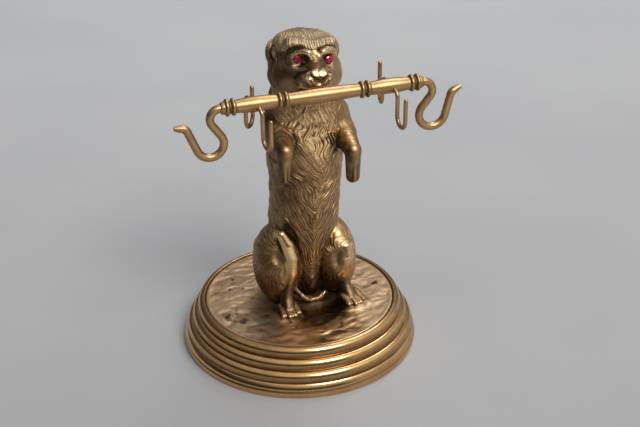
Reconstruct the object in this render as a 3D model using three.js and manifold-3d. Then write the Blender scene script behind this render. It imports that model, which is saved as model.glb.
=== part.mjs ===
// Watch stand: a gilt animal sits up on a round stepped foot and holds a turned bar in its mouth.
// The bar has an S-shaped arm at each end and two cross wires with a hook in front and one behind.
// Millimetres, +Z up. The animal faces -Y, the bar lies along X, and the foot stands on z = 0.
// The frame's origin lies under the bar's middle, which is the middle of the whole outline.
import * as THREE from "three";
import { mergeVertices } from "three/addons/utils/BufferGeometryUtils.js";
import Module from "manifold-3d";

const wasm = await Module();
wasm.setup();

// Driving dimensions
const fit = 0.3; // clearance between pieces that touch
const footRadius = 41;
const footHeight = 15.6;
const footWall = 3.2;
const rimHeight = 2.3;
const flangeHeight = 2.3;
const flangeStep = 1.2;
const stepCount = 3;
const discRadius = 32.9;
const discThickness = 2.6;
const discDrop = 0.3; // how far the disc's top lies below the foot's top edge
const figureHeight = 97.4;
const figureSide = 3.1; // the animal sits this far to the side of the foot's axis
const figureBack = 2;
const mouthRise = 0.843; // the mouth above the disc, as a share of the animal's height
const mouthReach = 0.2033; // the mouth in front of the animal's middle, as a share of its height
const barLift = mouthRise * figureHeight; // the bar's axis above the disc
const barForward = mouthReach * figureHeight - figureBack; // the bar's axis in front of the foot's axis
const barSide = 3.7; // the bar's middle to the side of the foot's axis
const barMiddleRadius = 2.35;
const barNeckRadius = 2;
const barOuterRadius = 2.45;
const collarRadius = 2.75;
const collarWidth = 1.1;
const collarGap = 0.9;
const innerCollarAt = 13.4;
const outerCollarAt = 30.1;
const barEndLength = 1.4;
const armRadius = 1.3;
const armTenon = 4;
const armTipRadius = 0.85;
const armTipLength = 2.2;
const wireRadius = 0.68;
const wireHoleAt = 22.3;
const hookWidth = 6; // centre to centre across a hook's bend
const leftStoneRadius = 1.2;
const rightStoneRadius = 1.5;
const stoneHeight = 1.3;
const socketDepth = 1.5;

const groundLevel = footHeight - discDrop;
const barHeight = groundLevel + barLift;

const roundSides = 40; // facets round the foot and the disc

// Finishes
const gilt = { color: 0xc9a062, roughness: 0.32, metalness: 1 };
const satinBrass = { color: 0xc09858, roughness: 0.42, metalness: 1 };
const paleGilt = { color: 0xb2925f, roughness: 0.4, metalness: 1 };
const ruby = { color: 0xa01030, roughness: 0.06, metalness: 0 };

const stand = new THREE.Group();

function addPiece(name, geometry, finish) {
  const mesh = new THREE.Mesh(geometry, new THREE.MeshStandardMaterial(finish));
  mesh.name = name;
  mesh.geometry.computeVertexNormals();
  stand.add(mesh);
}

// Joins and cuts
function solidOf(geometry) {
  const bare = geometry.clone();
  bare.deleteAttribute("normal");
  bare.deleteAttribute("uv");
  const merged = mergeVertices(bare, 1e-4);
  const vertProperties = new Float32Array(merged.attributes.position.array);
  const triVerts = new Uint32Array(merged.index.array);
  return new wasm.Manifold(new wasm.Mesh({ numProp: 3, vertProperties, triVerts }));
}

function geometryOf(solid) {
  const { vertProperties, triVerts } = solid.getMesh();
  const geometry = new THREE.BufferGeometry();
  geometry.setAttribute("position", new THREE.BufferAttribute(new Float32Array(vertProperties), 3));
  geometry.setIndex(new THREE.BufferAttribute(new Uint32Array(triVerts), 1));
  return geometry;
}

// A lathe turned round Z from (radius, height) pairs that run upward on the outside
function turned(profile, sides) {
  const points = profile.map(([radius, height]) => new THREE.Vector2(radius, height));
  const geometry = new THREE.LatheGeometry(points, sides);
  geometry.rotateX(Math.PI / 2);
  return geometry;
}

// A round pin between two points
function pin(from, to, radius, sides, endRadius = radius) {
  const way = new THREE.Vector3().subVectors(to, from);
  const geometry = new THREE.CylinderGeometry(endRadius, radius, way.length(), sides);
  const turn = new THREE.Quaternion().setFromUnitVectors(new THREE.Vector3(0, 1, 0), way.clone().normalize());
  geometry.applyQuaternion(turn);
  const middle = from.clone().add(to).multiplyScalar(0.5);
  return geometry.translate(middle.x, middle.y, middle.z);
}

// A round bar along a list of points
function wire(points, radius, sides, steps) {
  const section = new THREE.Shape();
  for (let i = 0; i < sides; i++) {
    const angle = (2 * Math.PI * i) / sides;
    const corner = [radius * Math.cos(angle), radius * Math.sin(angle)];
    if (i === 0) section.moveTo(...corner);
    else section.lineTo(...corner);
  }
  section.closePath();
  const extrudePath = new THREE.CatmullRomCurve3(points, false, "centripetal");
  return new THREE.ExtrudeGeometry(section, { steps, extrudePath, bevelEnabled: false, curveSegments: 1 });
}

// Foot: a hollow turned shell of three round steps over a flange and a thin rim
function footGeometry() {
  const ringTop = rimHeight + flangeHeight + 0.3;
  const stepHeight = (footHeight - ringTop) / stepCount;
  const seatRadius = discRadius + fit;
  const lip = 0.5;
  const stepRun = (footRadius - flangeStep - seatRadius - lip) / stepCount;
  const seatFloor = groundLevel - discThickness - fit;
  const ceiling = seatFloor - footWall;
  const undercut = 0.35;
  const profile = [
    [0, ceiling],
    [seatRadius - footWall, ceiling],
    [footRadius - flangeStep - footWall - 1, ringTop],
    [footRadius - footWall, 0],
    [footRadius - 0.5, 0],
    [footRadius, 0.5],
    [footRadius, rimHeight - 0.4],
    [footRadius - undercut, rimHeight],
    [footRadius - undercut / 2, rimHeight + 0.3],
    [footRadius - flangeStep * 0.6, rimHeight + flangeHeight * 0.6],
    [footRadius - flangeStep, rimHeight + flangeHeight],
    [footRadius - flangeStep - undercut, ringTop],
  ];
  for (let step = 0; step < stepCount; step++) {
    const outer = footRadius - flangeStep - step * stepRun;
    const low = ringTop + step * stepHeight;
    const corners = 3;
    for (let i = 0; i <= corners; i++) {
      const angle = (-0.25 + (1.25 * i) / corners) * (Math.PI / 2);
      const rise = stepHeight * (0.3 + 0.7 * Math.sin(angle));
      profile.push([outer - stepRun + stepRun * Math.cos(angle), low + rise]);
    }
    if (step < stepCount - 1) profile.push([outer - stepRun - undercut, low + stepHeight + 0.05]);
  }
  profile.push([seatRadius, footHeight - 0.1], [seatRadius, seatFloor], [0, seatFloor]);
  return turned(profile, roundSides);
}

// The animal's form is a distance field in hundredths of its own height, with the ground at 0
const share = figureHeight / 100;

function ellipsoid(p, centre, radii, turn) {
  let q = [p[0] - centre[0], p[1] - centre[1], p[2] - centre[2]];
  if (turn) q = turned3(q, turn);
  const a = Math.hypot(q[0] / radii[0], q[1] / radii[1], q[2] / radii[2]) + 1e-6;
  const b = Math.hypot(q[0] / radii[0] ** 2, q[1] / radii[1] ** 2, q[2] / radii[2] ** 2) + 1e-6;
  return (a * (a - 1)) / b;
}

// A limb between two points, round, with a radius at each end
function limb(p, from, to, startRadius, endRadius) {
  const way = [to[0] - from[0], to[1] - from[1], to[2] - from[2]];
  const off = [p[0] - from[0], p[1] - from[1], p[2] - from[2]];
  const length2 = way[0] ** 2 + way[1] ** 2 + way[2] ** 2;
  let t = (off[0] * way[0] + off[1] * way[1] + off[2] * way[2]) / length2;
  t = Math.min(1, Math.max(0, t));
  const gap = Math.hypot(off[0] - t * way[0], off[1] - t * way[1], off[2] - t * way[2]);
  return gap - (startRadius + (endRadius - startRadius) * t);
}

// A chain of limbs through [x, y, z, radius] stops
function ridge(p, stops) {
  const parts = stops.slice(1).map((stop, i) => limb(p, stops[i], stop, stops[i][3], stop[3]));
  return Math.min(...parts);
}

function join(a, b, blend) {
  const h = Math.max(blend - Math.abs(a - b), 0) / blend;
  return Math.min(a, b) - (h * h * blend) / 4;
}

function carve(a, b, blend) {
  return -join(-a, b, blend);
}

// Rotation matrices as rows, to take a point into a turned part's own frame
function turnMatrix(xDegrees, yDegrees, zDegrees) {
  const angles = [xDegrees, yDegrees, zDegrees].map(THREE.MathUtils.degToRad);
  const matrix = new THREE.Matrix4().makeRotationFromEuler(new THREE.Euler(...angles, "ZYX"));
  const e = matrix.elements;
  return [[e[0], e[1], e[2]], [e[4], e[5], e[6]], [e[8], e[9], e[10]]];
}

function turned3(q, rows) {
  return rows.map((r) => r[0] * q[0] + r[1] * q[1] + r[2] * q[2]);
}

// A smooth curve through stations [height, value], by cubic pieces
function along(height, stations, column) {
  const last = stations.length - 1;
  const h = Math.min(stations[last][0], Math.max(stations[0][0], height));
  let i = 0;
  while (i < last - 1 && h > stations[i + 1][0]) i++;
  const slope = (k) => (stations[k + 1][column] - stations[k][column]) / (stations[k + 1][0] - stations[k][0]);
  const tangent = (k) => {
    if (k === 0) return slope(0);
    if (k === last) return slope(last - 1);
    return (slope(k - 1) + slope(k)) / 2;
  };
  const step = stations[i + 1][0] - stations[i][0];
  const t = (h - stations[i][0]) / step;
  const start = (2 * t ** 3 - 3 * t ** 2 + 1) * stations[i][column] + (t ** 3 - 2 * t ** 2 + t) * step * tangent(i);
  const end = (3 * t ** 2 - 2 * t ** 3) * stations[i + 1][column] + (t ** 3 - t ** 2) * step * tangent(i + 1);
  return start + end;
}

// Trunk stations: height, half width, half depth, the middle's place front to back and to the side
const trunk = [
  [-3, 8, 10, 6, 0],
  [16, 11, 12, 5, 0.3],
  [28, 12.2, 12.5, 4, 0.6],
  [36, 12.2, 12, 2.8, 0.8],
  [45, 12.3, 11.7, 2.2, 0.9],
  [55, 12.8, 11.9, 1.6, 0.7],
  [65, 12.9, 11.8, 1.2, 0.3],
  [73, 11.8, 10.8, 1.2, 0],
  [80, 10.2, 9.5, 0.8, 0],
  [92, 9, 8.5, 1, 0],
];

// Belly keel stations: height, half width, front edge's place
const keel = [
  [-3, 6.4, -5.8],
  [8, 6, -6.6],
  [20, 6.6, -8.2],
  [32, 8.3, -9.4],
  [42, 10.5, -9.9],
  [54, 12, -9.6],
];

function trunkForm(p) {
  const width = along(p[2], trunk, 1);
  const depth = along(p[2], trunk, 2);
  const middle = along(p[2], trunk, 3);
  const aside = along(p[2], trunk, 4);
  const r = Math.hypot((p[0] - aside) / width, (p[1] - middle) / depth) + 1e-6;
  const side = (r - 1) * Math.min(width, depth);
  return Math.max(side, p[2] - trunk[trunk.length - 1][0], trunk[0][0] - p[2]);
}

function keelForm(p) {
  const width = along(p[2], keel, 1);
  const front = along(p[2], keel, 2);
  const roundness = 0.1 + 0.6 * fade(p[2], 34, 46);
  const across = Math.sqrt((p[0] - along(p[2], trunk, 4)) ** 2 + roundness);
  const slope = 6 / width;
  const face = (front + slope * across - p[1]) / Math.sqrt(1 + slope ** 2);
  const body = carve(face, width - across, 2);
  return Math.max(body, p[1] - 4, p[2] - keel[keel.length - 1][0], keel[0][0] - p[2]);
}

// Edge of the belly's fur on the ground
const skirt = [
  [-6.6, -8.2, 6.6, 0.6],
  [-4.1, -9.3, 2.8, 0.8],
  [-1.2, -9.9, 1.4, 0.8],
  [2.2, -9.4, 1.6, 0.8],
  [4.7, -8.6, 2.9, 0.6],
];

// Locks of fur: a shingle of pointed tufts over (column, row) coordinates, 0 to 1 high
function lock(column, row, lean) {
  const rank = Math.floor(row);
  const down = row - rank;
  const shifted = column + 0.5 * (rank & 1) + lean * down;
  const across = Math.abs(shifted - Math.floor(shifted) - 0.5) * 2;
  const narrow = 1 - 0.55 * down * down;
  const roof = Math.max(0, 1 - (across / narrow) ** 2);
  return roof * Math.min(1, 0.25 + down) * Math.min(1, (1 - down) * 5);
}

function fade(value, from, to) {
  const t = Math.min(1, Math.max(0, (value - from) / (to - from)));
  return t * t * (3 - 2 * t);
}

const lockDepth = 0.62;

function trunkFur(p) {
  const angle = Math.atan2(p[0], 2 - p[1]);
  const belly = 1 - fade(p[2], 40, 52);
  const sag = belly * Math.max(0, 1 - Math.abs(angle) / 0.9);
  const row = (80 - p[2]) / 6.4 - sag;
  const sway = 0.18 * Math.sin(row * 2.4 + angle * 3);
  const column = (angle / (2 * Math.PI)) * 18 + 0.5 + sway;
  const high = fade(p[2], -1, 3) * (1 - fade(p[2], 78, 84));
  return high * lock(column, row, 0.5 * Math.sign(angle) * belly);
}

function thighFur(p, middle) {
  const back = p[1] - middle[1];
  const up = p[2] - middle[2];
  const reach = Math.hypot(back, up);
  const column = (Math.atan2(up, back) / (2 * Math.PI)) * 14;
  return fade(reach, 4.5, 7) * fade(p[2], 0, 3) * lock(column, reach / 4.8, 0.2);
}

// Head, in its own frame: middle of the skull at 0, the same left and right but for the eyes
const headPlace = [-0.1, -0.5, 88.3];
const headTurn = turnMatrix(-5.2, 5.8, 0.3);
const earTurn = turnMatrix(0, 10, -30);
const eyes = [
  { name: "eye_left", middle: [-5.55, -10.55, 3.75], look: [-0.2, -0.95, 0.2], radius: leftStoneRadius },
  { name: "eye_right", middle: [5.35, -10.5, 3.5], look: [0.2, -0.95, 0.2], radius: rightStoneRadius },
];
const eyeCorner = [-2.5, -12.1, 4.3]; // the hollow between the left eye and the nose
const browCuts = [
  [
    [-9.2, -8, 4.8, 0.5],
    [-7.6, -9.3, 6.4, 0.9],
    [-5.2, -10.7, 7.5, 1],
    [-3.4, -11.7, 7.9, 0.8],
  ],
  [
    [1.3, -12, 6.9, 0.7],
    [2.6, -11.9, 8, 0.8],
    [4.2, -11.3, 8.3, 0.7],
  ],
];
const lids = [
  [
    [-8, -7.9, 4.4, 0.5],
    [-5.7, -9.8, 5.8, 0.6],
    [-3.7, -11.4, 6.7, 0.7],
    [-1.8, -12.4, 5.6, 0.7],
    [-0.9, -12.8, 4.5, 0.6],
  ],
  [
    [1, -12.7, 4.6, 0.6],
    [2.3, -12.1, 6.7, 0.7],
    [5.2, -10.7, 7, 0.7],
    [8.3, -8.3, 4.6, 0.6],
  ],
];

function headForm(p) {
  const q = turned3([p[0] - headPlace[0], p[1] - headPlace[1], p[2] - headPlace[2]], headTurn);
  const m = [Math.abs(q[0]), q[1], q[2]];
  let d = ellipsoid(m, [0, 1, 1.2], [10.8, 10.6, 9.8]);
  d = join(d, ellipsoid(m, [5.4, -1.8, 6], [5.4, 6.8, 4.2]), 3);
  d = join(d, ellipsoid(m, [6.9, -3.2, -2.9], [5.6, 6.4, 6.4]), 2.5);
  d = join(d, ellipsoid(m, [0, -3, -6.6], [7.6, 7.6, 5]), 3);
  const crown = Math.atan2(q[0], 1 - q[1]);
  const fringe = fade(q[2], 5.6, 8.6);
  const ruff = fade(q[1], -7.5, -3.5);
  const polar = Math.acos(Math.min(1, Math.max(-1, (q[2] - 1) / (Math.hypot(q[0], q[1], q[2] - 1) + 1e-6))));
  d -= 0.42 * Math.max(fringe, ruff) * lock((crown / (2 * Math.PI)) * 18 + 0.5, polar / 0.42 + 0.3, 0);
  // lower jaw, brow, face, bridge, muzzle and nose
  d = join(d, ellipsoid(m, [0, -9.2, -8.6], [4.6, 5.6, 2.6]), 2);
  d = join(d, limb(m, [0, -9.2, 7.6], [6.8, -7.6, 8.2], 1.8, 1.8), 2.4);
  d = join(d, ellipsoid(m, [0, -7.4, -0.6], [8.4, 6.8, 5.8]), 3);
  d = join(d, limb(m, [0, -9.4, 4.6], [0, -12.4, 0.6], 3.3, 3.8), 2.6);
  d = join(d, ellipsoid(m, [2.2, -13, -2], [3.9, 3.7, 3]), 1.4);
  d = join(d, limb(m, [1, -15.4, 1], [0.9, -15.9, 0.2], 1.3, 1.1), 0.4);
  // eye hollows with the eyeballs in them, then the cuts under the brow and the lids
  for (const { middle } of eyes) {
    d = carve(d, ellipsoid(q, [middle[0], middle[1] - 0.9, middle[2]], [2.7, 1.9, 2.2]), 1.2);
    d = join(d, ellipsoid(q, [middle[0], middle[1] + 1.9, middle[2] - 0.1], [2.9, 2.1, 2.7]), 0.9);
  }
  d = carve(d, ellipsoid(q, eyeCorner, [1.7, 1.3, 1.7]), 0.8);
  for (const stops of browCuts) d = carve(d, ridge(q, stops), 0.6);
  for (const stops of lids) d = join(d, ridge(q, stops), 0.6);
  // cupped ear
  d = join(d, ellipsoid(m, [9.7, 1.3, 3.5], [3.2, 2.3, 4.2], earTurn), 0.6);
  return carve(d, ellipsoid(m, [10.4, -0.9, 3.4], [2, 1.5, 2.9], earTurn), 0.6);
}

// Arms held up in front with the paws hanging
const arms = [
  {
    root: [-7, 1, 75],
    shoulder: [-8.8, 0, 68.4],
    elbow: [-10.2, -5, 64],
    wrist: [-11.4, -15.6, 64],
    tip: [-12.2, -16.5, 55],
    pawRadius: 2.3,
  },
  {
    root: [7.6, -0.5, 76],
    shoulder: [10.6, -0.8, 69],
    elbow: [12.6, -4.5, 62.5],
    wrist: [12.6, -14.6, 60.6],
    tip: [12.4, -15.5, 51.4],
    pawRadius: 2.7,
  },
];

function armForm(p, arm) {
  let d = join(limb(p, arm.root, arm.shoulder, 4.4, 5), limb(p, arm.shoulder, arm.elbow, 4.9, 4.2), 1);
  d = join(d, limb(p, arm.elbow, arm.wrist, 4.2, 2.9), 2);
  const knuckle = [arm.wrist[0], arm.wrist[1] - 0.4, arm.wrist[2] - 0.6];
  return join(d, limb(p, knuckle, arm.tip, arm.pawRadius, arm.pawRadius - 0.3), 0.8);
}

// Folded hind legs: a broad furred thigh, a smooth shank and a foot with toes
const legs = [
  {
    thigh: [-11, 0, 13.2],
    shank: [
      [-11.4, -9, 29.4, 1.6],
      [-9.6, -10.3, 25.4, 2.2],
      [-8.5, -10.9, 20.5, 2.4],
      [-8.5, -10.9, 15, 2.3],
      [-9.8, -10.7, 9.6, 1.9],
      [-10.6, -10.8, 6, 1.7],
    ],
    hollow: [-13.5, -11, 22.4],
    foot: [-10.9, -11.4, 2.6],
    toesLook: 0.1,
  },
  {
    thigh: [10.2, 0, 13.2],
    shank: [
      [12, -8.8, 20.4, 2.2],
      [12.1, -9.4, 16.8, 2.8],
      [11.4, -9.5, 11.4, 2.2],
      [11.3, -9.6, 6.4, 1.9],
    ],
    hollow: [8.2, -12.4, 17.6],
    foot: [12.4, -10.8, 2.6],
    toesLook: 0.36,
  },
];
const toeCount = 4;
const toeSpread = 5.2;
const toeLength = 5.4;

function legForm(p, leg) {
  let d = ellipsoid(p, leg.thigh, [8, 12, 14.4]) - lockDepth * thighFur(p, leg.hollow);
  d = carve(d, ellipsoid(p, leg.hollow, [1.7, 2.2, 3.4]), 1.6);
  d = join(d, ridge(p, leg.shank), 1);
  const instep = [leg.foot[0], leg.foot[1] - 1.6, leg.foot[2] - 0.4];
  d = join(d, limb(p, leg.shank[leg.shank.length - 1], instep, 2.2, 2.5), 1.2);
  for (let i = 0; i < toeCount; i++) {
    const t = i / (toeCount - 1) - 0.5;
    const root = [leg.foot[0] + t * toeSpread, leg.foot[1] - 0.6 + t * toeSpread * leg.toesLook, 2.3];
    const reach = toeLength * (1 - 0.9 * t * t);
    const tip = [root[0] + reach * leg.toesLook + t * 0.8, root[1] - reach, 1];
    d = join(d, limb(p, root, tip, 1.5, 1), 0.7);
  }
  return d;
}

function animalForm(p) {
  let d = join(trunkForm(p), keelForm(p), 2) - lockDepth * trunkFur(p);
  d = join(d, ridge(p, skirt), 1.2);
  d = join(d, ellipsoid(p, [0, 17.5, 6], [3.6, 3.4, 4.6]), 3);
  for (const arm of arms) d = join(d, armForm(p, arm), 1.6);
  for (const leg of legs) d = join(d, legForm(p, leg), 1.4);
  return join(d, headForm(p), 3);
}

// A closed mesh of a form's surface, by marching through the tetrahedra of a cubic grid
function surfaceOf(form, low, high, cell) {
  const count = [0, 1, 2].map((a) => Math.ceil((high[a] - low[a]) / cell) + 1);
  const at = (i, j, k) => (i * count[1] + j) * count[2] + k;
  const spot = (n) => {
    const k = n % count[2];
    const j = Math.floor(n / count[2]) % count[1];
    const i = Math.floor(n / count[2] / count[1]);
    return [low[0] + i * cell, low[1] + j * cell, low[2] + k * cell];
  };
  const values = new Float32Array(count[0] * count[1] * count[2]).map((_, n) => form(spot(n)));
  const cube = [[0, 0, 0], [1, 0, 0], [1, 1, 0], [0, 1, 0], [0, 0, 1], [1, 0, 1], [1, 1, 1], [0, 1, 1]];
  const tetrahedra = [[0, 5, 1, 6], [0, 1, 2, 6], [0, 2, 3, 6], [0, 3, 7, 6], [0, 7, 4, 6], [0, 4, 5, 6]];
  const points = [];
  const faces = [];
  const crossing = new Map();
  const cut = (m, n) => {
    const key = m < n ? m * values.length + n : n * values.length + m;
    if (!crossing.has(key)) {
      const [a, b] = m < n ? [m, n] : [n, m];
      const t = Math.min(0.95, Math.max(0.05, values[a] / (values[a] - values[b])));
      const [pa, pb] = [spot(a), spot(b)];
      crossing.set(key, points.length);
      points.push(pa.map((value, c) => value + (pb[c] - value) * t));
    }
    return crossing.get(key);
  };
  const addFace = (ring, inner, outer) => {
    const [a, b, c] = ring.map((v) => points[v]);
    const n = crossProduct(a, b, c);
    const [from, to] = [spot(inner), spot(outer)];
    const facing = n[0] * (to[0] - from[0]) + n[1] * (to[1] - from[1]) + n[2] * (to[2] - from[2]);
    faces.push(facing > 0 ? ring : [ring[0], ring[2], ring[1]]);
  };
  for (let i = 0; i < count[0] - 1; i++) {
    for (let j = 0; j < count[1] - 1; j++) {
      for (let k = 0; k < count[2] - 1; k++) {
        const nodes = cube.map((c) => at(i + c[0], j + c[1], k + c[2]));
        const full = nodes.filter((n) => values[n] < 0).length;
        if (full === 0 || full === 8) continue;
        for (const tetrahedron of tetrahedra) {
          const corners = tetrahedron.map((c) => nodes[c]);
          const inner = corners.filter((n) => values[n] < 0);
          const outer = corners.filter((n) => values[n] >= 0);
          if (inner.length === 1) addFace(outer.map((n) => cut(inner[0], n)), inner[0], outer[0]);
          if (inner.length === 3) addFace(inner.map((n) => cut(n, outer[0])), inner[0], outer[0]);
          if (inner.length !== 2) continue;
          const ring = [[0, 0], [0, 1], [1, 1], [1, 0]].map(([m, n]) => cut(inner[m], outer[n]));
          addFace([ring[0], ring[1], ring[2]], inner[0], outer[0]);
          addFace([ring[0], ring[2], ring[3]], inner[0], outer[0]);
        }
      }
    }
  }
  return { points, faces };
}

function crossProduct(a, b, c) {
  const u = [b[0] - a[0], b[1] - a[1], b[2] - a[2]];
  const v = [c[0] - a[0], c[1] - a[1], c[2] - a[2]];
  return [u[1] * v[2] - u[2] * v[1], u[2] * v[0] - u[0] * v[2], u[0] * v[1] - u[1] * v[0]];
}

// Fewer triangles: short edges go first where that changes the surface least
function simplified({ points, faces }, target) {
  const around = points.map(() => new Set());
  faces.forEach((face, index) => face.forEach((v) => around[v].add(index)));
  const quadrics = points.map(() => new Float64Array(10));
  for (const [a, b, c] of faces) {
    const n = crossProduct(points[a], points[b], points[c]);
    const size = Math.hypot(...n) || 1e-12;
    const [x, y, z] = n.map((value) => value / size);
    const w = -(x * points[a][0] + y * points[a][1] + z * points[a][2]);
    const terms = [x * x, x * y, x * z, x * w, y * y, y * z, y * w, z * z, z * w, w * w];
    for (const v of [a, b, c]) terms.forEach((term, i) => (quadrics[v][i] += (term * size) / 6));
  }
  const errorAt = (q, p) => {
    const [x, y, z] = p;
    const square = q[0] * x * x + q[4] * y * y + q[7] * z * z + 2 * (q[1] * x * y + q[2] * x * z + q[5] * y * z);
    return square + 2 * (q[3] * x + q[6] * y + q[8] * z) + q[9];
  };
  const bestPlace = (a, b) => {
    const q = quadrics[a].map((value, i) => value + quadrics[b][i]);
    const [pa, pb] = [points[a], points[b]];
    const middle = [0, 1, 2].map((i) => (pa[i] + pb[i]) / 2);
    const options = [pa, pb, middle];
    const det = q[0] * (q[4] * q[7] - q[5] ** 2) - q[1] * (q[1] * q[7] - q[5] * q[2]) + q[2] * (q[1] * q[5] - q[4] * q[2]);
    if (Math.abs(det) > 1e-7) {
      const [d45, d67] = [q[6] * q[5] - q[4] * q[8], q[6] * q[7] - q[5] * q[8]];
      const [d15, d18] = [q[1] * q[5] - q[4] * q[2], q[1] * q[8] - q[6] * q[2]];
      const x = -(q[3] * (q[4] * q[7] - q[5] ** 2) - q[1] * d67 + q[2] * d45) / det;
      const y = -(q[0] * d67 - q[3] * (q[1] * q[7] - q[5] * q[2]) + q[2] * d18) / det;
      const z = -(-q[0] * d45 - q[1] * d18 + q[3] * d15) / det;
      const length = Math.hypot(pa[0] - pb[0], pa[1] - pb[1], pa[2] - pb[2]);
      if (Math.hypot(x - middle[0], y - middle[1], z - middle[2]) < length) options.push([x, y, z]);
    }
    let best = options[0];
    for (const option of options) if (errorAt(q, option) < errorAt(q, best)) best = option;
    const length2 = (pa[0] - pb[0]) ** 2 + (pa[1] - pb[1]) ** 2 + (pa[2] - pb[2]) ** 2;
    return { place: best, cost: Math.max(0, errorAt(q, best)) + 1e-4 * length2 };
  };
  const version = new Int32Array(points.length);
  const heap = [];
  const push = (item) => {
    heap.push(item);
    let i = heap.length - 1;
    while (i > 0 && heap[(i - 1) >> 1].cost > heap[i].cost) {
      [heap[i], heap[(i - 1) >> 1]] = [heap[(i - 1) >> 1], heap[i]];
      i = (i - 1) >> 1;
    }
  };
  const pop = () => {
    const top = heap[0];
    const last = heap.pop();
    if (heap.length === 0) return top;
    heap[0] = last;
    let i = 0;
    for (;;) {
      let child = 2 * i + 1;
      if (child >= heap.length) return top;
      if (child + 1 < heap.length && heap[child + 1].cost < heap[child].cost) child++;
      if (heap[child].cost >= heap[i].cost) return top;
      [heap[i], heap[child]] = [heap[child], heap[i]];
      i = child;
    }
  };
  const neighbours = (v) => {
    const found = new Set();
    for (const f of around[v]) for (const w of faces[f]) if (w !== v) found.add(w);
    return found;
  };
  const queue = (a, b) => push({ ...bestPlace(a, b), a, b, stamp: version[a] + version[b] });
  points.forEach((_, v) => {
    for (const w of neighbours(v)) if (v < w) queue(v, w);
  });
  let alive = faces.length;
  while (alive > target && heap.length > 0) {
    const { place, a, b, stamp } = pop();
    if (around[a].size === 0 || around[b].size === 0 || stamp !== version[a] + version[b]) continue;
    const near = neighbours(b);
    let shared = 0;
    for (const v of neighbours(a)) if (near.has(v)) shared++;
    if (!near.has(a) || shared !== 2) continue;
    const flips = [a, b].some((v) =>
      [...around[v]].some((f) => {
        const face = faces[f];
        if (face.includes(a) && face.includes(b)) return false;
        const before = crossProduct(...face.map((w) => points[w]));
        const after = crossProduct(...face.map((w) => (w === v ? place : points[w])));
        const dot = before[0] * after[0] + before[1] * after[1] + before[2] * after[2];
        return dot < 0.3 * Math.hypot(...before) * Math.hypot(...after);
      }),
    );
    if (flips) continue;
    points[a] = place;
    quadrics[b].forEach((value, i) => (quadrics[a][i] += value));
    for (const f of around[b]) {
      const face = faces[f];
      if (face.includes(a)) {
        for (const v of face) if (v !== b) around[v].delete(f);
        faces[f] = null;
        alive--;
      } else {
        face[face.indexOf(b)] = a;
        around[a].add(f);
      }
    }
    around[b].clear();
    version[a] += 2;
    version[b] += 1;
    for (const v of neighbours(a)) queue(a, v);
  }
  const used = new Map();
  const index = [];
  for (const face of faces) {
    if (face === null) continue;
    for (const v of face) {
      if (!used.has(v)) used.set(v, used.size);
      index.push(used.get(v));
    }
  }
  return { corners: [...used.keys()].flatMap((v) => points[v]), index };
}

// A point of the animal's form in the stand's frame
function placed(point) {
  return new THREE.Vector3(
    figureSide + point[0] * share,
    figureBack + point[1] * share,
    groundLevel + point[2] * share,
  );
}

const figureTriangles = 3600;
const gridCell = 1;
const gridLow = [-22, -23, -5]; // a box round the whole animal, in hundredths of its height
const gridHigh = [22, 23, 102];

function animalGeometry() {
  const net = surfaceOf(animalForm, gridLow, gridHigh, gridCell);
  const { corners, index } = simplified(net, figureTriangles);
  const geometry = new THREE.BufferGeometry();
  geometry.setAttribute("position", new THREE.BufferAttribute(new Float32Array(corners), 3));
  geometry.setIndex(index);
  geometry.scale(share, share, share);
  geometry.translate(figureSide, figureBack, groundLevel);
  return geometry;
}

// A stone's middle and the way it looks, in the stand's frame
function seatOf(eye) {
  const back = new THREE.Matrix3().set(...headTurn.flat()).transpose();
  const look = new THREE.Vector3(...eye.look).normalize().applyMatrix3(back);
  const middle = new THREE.Vector3(...eye.middle).applyMatrix3(back).add(new THREE.Vector3(...headPlace));
  return { name: eye.name, radius: eye.radius, face: placed(middle.toArray()), look };
}

function stoneGeometry({ radius, face, look }) {
  const profile = [
    [0, -0.55 * stoneHeight],
    [0.92 * radius, -0.08 * stoneHeight],
    [radius, 0],
    [radius, 0.08 * stoneHeight],
    [0.58 * radius, 0.45 * stoneHeight],
    [0, 0.45 * stoneHeight],
  ];
  const geometry = turned(profile, 8);
  geometry.applyQuaternion(new THREE.Quaternion().setFromUnitVectors(new THREE.Vector3(0, 0, 1), look));
  return geometry.translate(face.x, face.y, face.z);
}

// Bar, along X about its own middle
function barProfile() {
  const profile = [];
  const collarReach = collarWidth + collarGap / 2;
  const barrel = (from, to, middleRadius) => {
    const points = 4;
    for (let i = 0; i <= points; i++) {
      const t = i / points;
      const radius = barNeckRadius + (middleRadius - barNeckRadius) * Math.sin(Math.PI * t);
      profile.push([radius, from + (to - from) * t]);
    }
  };
  const collar = (middle) => {
    for (const side of [-1, 1]) {
      const low = middle + (side * (collarWidth + collarGap)) / 2 - collarWidth / 2;
      profile.push([barNeckRadius, low]);
      profile.push([collarRadius, low + 0.3 * collarWidth]);
      profile.push([collarRadius, low + 0.7 * collarWidth]);
      profile.push([barNeckRadius, low + collarWidth]);
    }
  };
  const end = outerCollarAt + collarReach;
  profile.push([0, -end - barEndLength]);
  profile.push([armRadius + fit + 0.35, -end - barEndLength]);
  profile.push([barNeckRadius, -end - 0.3]);
  collar(-outerCollarAt);
  barrel(-outerCollarAt + collarReach, -innerCollarAt - collarReach, barOuterRadius);
  collar(-innerCollarAt);
  barrel(-innerCollarAt + collarReach, innerCollarAt - collarReach, barMiddleRadius);
  collar(innerCollarAt);
  barrel(innerCollarAt + collarReach, outerCollarAt - collarReach, barOuterRadius);
  collar(outerCollarAt);
  profile.push([barNeckRadius, end + 0.3]);
  profile.push([armRadius + fit + 0.35, end + barEndLength]);
  profile.push([0, end + barEndLength]);
  return { profile, barEnd: end + barEndLength };
}

const barMiddle = new THREE.Vector3(barSide, -barForward, barHeight);

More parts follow.
